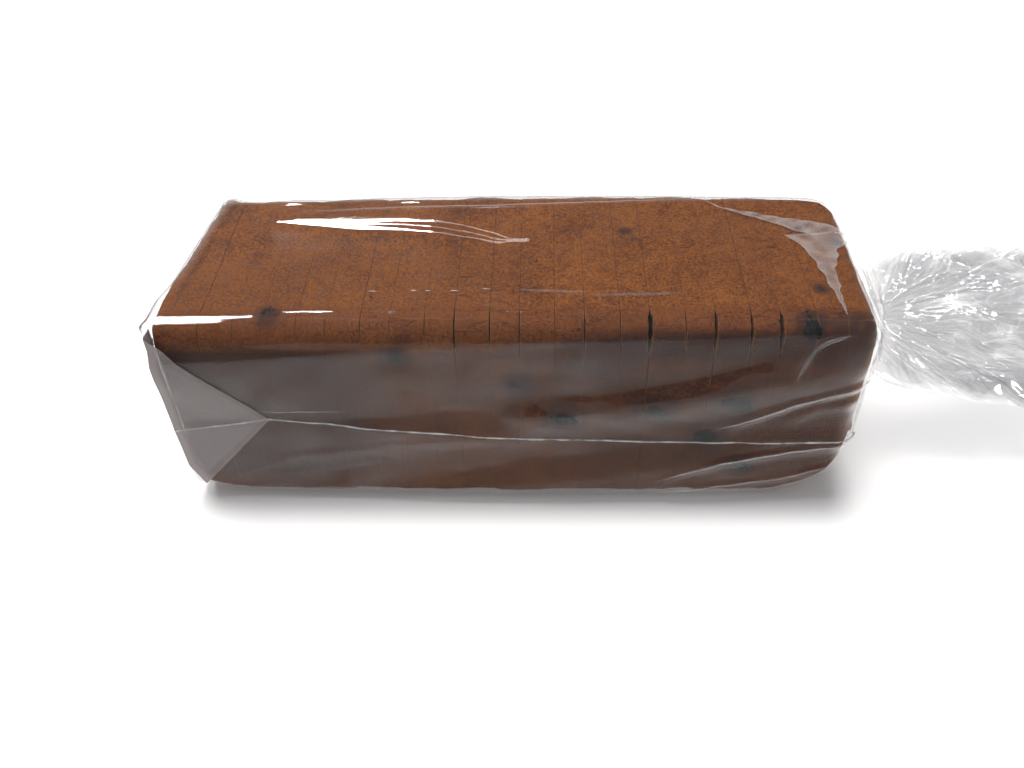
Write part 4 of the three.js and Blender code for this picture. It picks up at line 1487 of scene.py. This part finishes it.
def resampled(path, step, extra=0):
    """The path with points at even distances, one for each step and some extra, and how far along
    it each of them is."""
    path = np.asarray(path, float)
    run = run_along(path)
    even = np.linspace(0, run[-1], max(int(run[-1] / step) + extra, FEWEST_POINTS))
    return np.stack([np.interp(even, run, path[:, k]) for k in range(path.shape[1])], -1), even


def side_weld(name, column, side, seed):
    """The weld of one side: along the panel's edge, over the folded corner where there is one."""
    path = column.copy()
    u = np.clip((EAR_TIP - path[:, 0]) / (EAR_TIP + EAR_BACK), 0, 1)
    path[:, 1] += side * np.where(path[:, 0] < EAR_TIP, ON_EAR + EAR_RISE * u, ON_FILM)
    path, even = resampled(path, WELD_STEP, extra=1)
    rough = np.stack([even, 0 * even], -1)
    path[:, 2] += 0.12 * wavy(rough, 9, seed) + 0.05 * crumpled(rough, 3, seed + 1)
    wide = WELD_HALF_WIDE * (1 + 0.35 * wavy(rough, 4, seed + 2))
    thick = WELD_HALF_THICK * (1 + 0.2 * wavy(rough, 3, seed + 3))
    return tube(name, path, np.clip(wide, 0.15, 0.6), np.clip(thick, 0.12, 0.35), [0, side, 0], weld)


weld = weld_material()
loaf_rows = slice(loaf_start, loaf_start + len(FILM_X))
end_path, end_run = resampled(upper_grid[0] - [END_WELD_OUT, 0, 0], WELD_STEP, extra=1)
welds = [
    side_weld("weld_near", upper_grid[loaf_rows, 0], -1, 501),
    side_weld("weld_far", upper_grid[loaf_rows, -1], 1, 511),
    tube("weld_end", end_path, np.full(len(end_run), END_WELD_HALF_WIDE),
         np.full(len(end_run), END_WELD_HALF_THICK), [-1, 0, 0], weld),
]
print("welds:", [round(len(w.data.polygons)) for w in welds], "faces")

# %% [markdown]
# ## Tucks and creases on the bag
#
# Where the film was pulled round the heel it has slid over itself: narrow wedges lie double on the
# top, and their grey-white veil is a painted reflection on that doubled film. Thin creases are
# painted white: partly pressed film, partly painted highlights along their crests. Both are strips
# that follow a path on the film a hair above it.

# %% Strips on the film
STRIP_STEP, STRIP_COLUMNS = 1.2, 5
VEIL_ROWS, VEIL_COLUMNS, VEIL_REFLECTION_WHITE = 70, 16, 0.17
TOP_LIFT, NEAR_LIFT = np.array([0, 0, 0.32]), np.array([0, -0.32, 0])


def top_film(x, y):
    """Point of the top film at x and y."""
    high = film_section(np.ravel(x), FILM_GROW)["high"].reshape(np.shape(x))
    return np.stack([x, y, high + top_stand(x, y)], -1)


def near_film(x, z):
    """Point of the near film at x and z."""
    return np.stack([x, side_film(x, z, -1), z], -1)


def strip_points(path, half_width, surface, lift):
    """A strip that follows a path on a surface: half_width to both sides of it, tapered to its ends
    and lifted off the surface."""
    line, even = resampled(path, STRIP_STEP)
    line[:, 1] += 0.12 * wavy(np.stack([even, 0 * even], -1), 14, 7)
    ahead = np.gradient(line, axis=0)
    ahead /= np.linalg.norm(ahead, axis=1, keepdims=True)
    across = np.stack([-ahead[:, 1], ahead[:, 0]], -1)
    share = even / even[-1]
    width = half_width * np.minimum(1, np.minimum(share, 1 - share) * 5 + 0.15)
    v = np.linspace(-1, 1, STRIP_COLUMNS)
    flat = line[:, None] + across[:, None] * (v[None, :] * width[:, None])[..., None]
    grid = surface(flat[..., 0], flat[..., 1]) + lift
    haze_and_sheen = (1 - np.abs(v)[None, :] ** 2) * np.sin(np.pi * np.clip(share, 0.001, 0.999))[:, None] ** 0.5
    return grid, haze_and_sheen


CURL_LINE = (*CURL[:-1], (266.7, 94.6))
# their whiteness is a painted highlight along each crease, partly pressed film
CREASES = (  # path, half width, surface, lift, whiteness
    (FOLD_A, 0.42, near_film, NEAR_LIFT, 0.30),
    (FOLD_B, 0.38, near_film, NEAR_LIFT, 0.22),
    (FOLD_C, 0.40, near_film, NEAR_LIFT, 0.16),
    (((2, 55.5), (20, 55.0), (44, 54.5), (78, 55.5)), 0.3, near_film, NEAR_LIFT, 0.07),
    (CURL_LINE, 0.7, near_film, NEAR_LIFT, 0.05),
    (BACK_LINE, 0.40, top_film, TOP_LIFT, 0.14),
    (((81, 21.6), (86, 21.3)), 0.22, top_film, TOP_LIFT, 0.5),
    (((98, 21.8), (101.5, 21.5)), 0.25, top_film, TOP_LIFT, 0.5),
    (((104, 21.4), (107, 21.4)), 0.22, top_film, TOP_LIFT, 0.45),
    (((114, 21.5), (118, 21.2)), 0.22, top_film, TOP_LIFT, 0.5),
    (((126, 22.6), (131, 22.2)), 0.2, top_film, TOP_LIFT, 0.4),
    (((140, 21.8), (170, 20.5)), 0.7, top_film, TOP_LIFT, 0.04),
    (((168, 18.5), (207, 19.6)), 0.9, top_film, TOP_LIFT, 0.03),
)
crease_parts, crease_haze = [], []
for path, half, surface, lift, white in CREASES:
    grid, haze_and_sheen = strip_points(path, half, surface, lift)
    if surface is near_film:
        grid, haze_and_sheen = grid[:, ::-1], haze_and_sheen[:, ::-1]
    crease_parts.append((grid.reshape(-1, 3), [grid_faces(*grid.shape[:2])]))
    crease_haze.append((haze_and_sheen * white / HAZE_FULL).ravel())
crease_points, crease_faces = join(crease_parts)
film_creases = thicken(add_mesh("film_creases", crease_points, crease_faces, clear_film,
                                {"haze_and_sheen": np.concatenate(crease_haze)}))

VEIL_UPPER = ((220.4, 88.3), (228.3, 81.7), (244.8, 76), (261.1, 71.9), (280.8, 65.6))
VEIL_LOWER = ((220.4, 87.9), (228.2, 80.9), (244.1, 72.1), (259.3, 62.8), (265.0, 59.8))
STEM_LEFT = ((252.0, 60.0), (257.5, 53.3), (261.6, 41.2), (263.9, 25.8), (266.2, 7.6))
STEM_RIGHT = ((280.2, 64.0), (279.6, 60.4), (272.2, 49.6), (268.4, 35.7), (266.5, 7.0))


def veil(name, first, second, seed):
    """A film patch on the top between two paths, with slightly wandering edges. Its whiteness is a
    painted reflection.
    """
    u = np.linspace(0, 1, VEIL_ROWS)
    sides = []
    for k, path in enumerate((first, second)):
        run = run_along(path)
        side = np.stack([np.interp(u * run[-1], run, [p[i] for p in path]) for i in range(2)], -1)
        wander = np.stack([wavy(side, 9, seed + k), wavy(side, 9, seed + k + 5)], -1)
        sides.append(side + 0.35 * wander * (u * (1 - u) * 4)[:, None])
    v = np.linspace(0, 1, VEIL_COLUMNS)[None, :]
    flat = mix(sides[0][:, None], sides[1][:, None], v[..., None])
    grid = top_film(np.minimum(flat[..., 0], FILM_END), flat[..., 1]) + TOP_LIFT
    rim = 1 - np.sin(np.pi * v) ** 0.4
    haze_and_sheen = VEIL_REFLECTION_WHITE * (0.85 + 0.2 * wavy(flat, 8, seed + 9)) + 0.10 * rim * smooth(u, 0, 0.2)[:, None]
    area = np.cross(grid[1, 0] - grid[0, 0], grid[0, 1] - grid[0, 0])[2]
    return film_piece(name, grid, haze_and_sheen, clear_film, flip=area < 0)


veils = [veil("tuck_arm", VEIL_UPPER, VEIL_LOWER, 601), veil("tuck_stem", STEM_LEFT, STEM_RIGHT, 611)]
print("creases:", len(CREASES), "and doubled patches:", [v.name for v in veils])

# %% [markdown]
# ## The gathered tail
#
# Past the neck the spare bag opens like a fan that was crushed in a hand. The two panels run on as
# two sheets. Their pleats run out like spokes from just behind the neck, and flat crumpled facets
# lie over them, so that some of them always mirror a light. Pleats and facets are triangle waves: a
# sine would look like cloth, and film breaks into flat pieces. The film is tinted darker towards the
# middle and where a pleat is steep: partly smoky film seen through more of it, partly painted shade
# that draws the pleats.

# %% Tail sheets
TAIL_ROWS, TAIL_COLUMNS = 166, 288
APEX_BEHIND, SPOKE_ANGLE = 7.0, 0.7
TAIL_SPREAD, TAIL_LEAN = 0.17, 9.0  # it opens at once, and its outer parts lean back to the heel
TAIL_OVERLAP, EDGE_KEPT = 0.8, 3
LOWER_OFFSET = 0.37  # the lower sheet's pleats are set off from the upper one's


def tail_sheet(lower):
    """Grid of one tail sheet. Across it, side runs from -1 to 1; along it, t from 0 to 1. Its half
    width grows as a power of t, its half thickness is that of a flat oval, and pleats and facets
    move it up and down and sideways. The whole fan is turned about the neck's axis."""
    t = np.linspace(0, 1, TAIL_ROWS)[:, None] ** 1.25
    turn = np.linspace(0, np.pi, TAIL_COLUMNS)[None, :] + (np.pi if lower else 0)
    side = np.cos(turn)
    half_width = mix(NECK_RADIUS, TAIL_HALF_WIDTH, t ** TAIL_SPREAD)
    half_thick = mix(NECK_RADIUS, TAIL_HALF_THICKNESS, smooth(t, 0, 0.4)) * mix(1, 0.75, t)
    spoke = np.arctan2(half_width * side, TAIL_LENGTH * t + APEX_BEHIND) / SPOKE_ANGLE

    def pleats_of(turns, start, shear, begins, narrow=False):
        """One set of pleats over the spokes; narrow keeps only their sharp upper ridges."""
        wave = triangle(turns * spoke + start + shear * t)
        return (np.maximum(wave, 0) ** 2.5 if narrow else wave) * smooth(t, 0, begins)

    offset = LOWER_OFFSET if lower else 0.0
    near_neck = 1 - smooth(t, 0.25, 0.7)
    inner = 1 - 0.85 * smooth(np.abs(spoke), 0.9, 1.6)
    pleats = (2.4 * pleats_of(1.3, 0.15 + offset, 0.25, 0.5)
              + 1.5 * pleats_of(2.9, 0.4 - offset, -0.4, 0.3)
              + 1.3 * pleats_of(3.7, 0.7 + offset, 0.3, 0.12, True) * inner
              + 0.45 * pleats_of(6.1, 0.2 - offset, -0.5, 0.08, True) * mix(0.2, 1, near_neck) * inner
              + 0.10 * pleats_of(9.3, 0.1 + offset, 0.7, 0.05) * near_neck * inner)
    flat = np.stack([half_width * side, TAIL_LENGTH * t + 0 * side], -1)
    small = smooth(t, 0.0, 0.1) * mix(1, 0.4, smooth(t, 0.3, 0.7))
    facets = (2.2 * crumpled(flat, 38, 710 + lower, 4) * smooth(t, 0.1, 0.45)
              + 0.38 * crumpled(flat, 16, 720 + lower, 3) * small)
    sway = 0.9 * crumpled(flat, 30, 730 + lower, 4) * t**0.5
    wave = 3.0 * t * np.sin(2.0 * np.pi * side + 2 * t)
    gathers = 0.8 * pleat(turn) * (1 - t)
    w = (half_width + gathers) * side + sway
    relief = (pleats + facets) * np.minimum(np.abs(np.sin(turn)) * 3, 1)
    h = (half_thick + gathers) * np.sin(turn) + wave + relief
    scallop = 5 * t * np.cos(11 * side) + 3.0 * t * crumpled(flat * [1, 0], 16, 740 + lower, 5)
    lean = TAIL_LEAN * smooth(np.abs(w), 10, 38) * (1 - smooth(t, 0, 0.3))
    x = NECK[0] + NECK_LENGTH - TAIL_OVERLAP + (TAIL_LENGTH - EDGE_KEPT) * t + scallop - lean
    y = NECK[1] + TAIL_FAR_SHIFT * t + w * math.cos(TAIL_TILT) - h * math.sin(TAIL_TILT)
    z = NECK[2] - TAIL_DROP * t**2 + w * math.sin(TAIL_TILT) + h * math.cos(TAIL_TILT)
    haze_and_sheen = 0.012 + 0.05 * (1 - smooth(t, 0, 0.3)) + 0.10 * bell(pleats, 3.0, 0.5)
    rise, run = np.gradient(relief, axis=1), np.gradient(w, axis=1)
    steep = np.abs(rise) / np.hypot(rise, run)
    cloud = np.clip(0.55 + 0.12 * wavy(flat, 30, 750) + 0.85 * steep, 0.2, 1)
    # painted shade and tint: darker towards the middle and on steep pleat flanks, clear at the edges
    dim = smooth(1 - np.abs(side), 0.0, 0.22) * cloud
    return np.stack([x, y, z], -1), haze_and_sheen, dim


tails = []
for lower, word in ((0, "upper"), (1, "lower")):
    grid, haze_and_sheen, dim = tail_sheet(lower)
    tails.append(film_piece(f"tail_{word}", grid, haze_and_sheen, tail_film, dim=dim))
    tail_lit.objects.link(tails[-1])
print("tail sheets:", [t.name for t in tails], TAIL_ROWS, "by", TAIL_COLUMNS)

# %% [markdown]
# ## Attaching the pieces
#
# Every piece rides on the one body and stands for the packed solid, which is hidden.

# %% Attach the pieces
film_pieces = [film_upper, film_lower, film_creases, *ears, *veils, *tails]
for pieces, finish in ((slices, "crust"), ([dried_fruit], "dried_fruit"), (film_pieces, "clear_film"),
                       (welds, "film_weld")):
    for piece in pieces:
        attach(piece, "root")
        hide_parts("bagged_loaf")
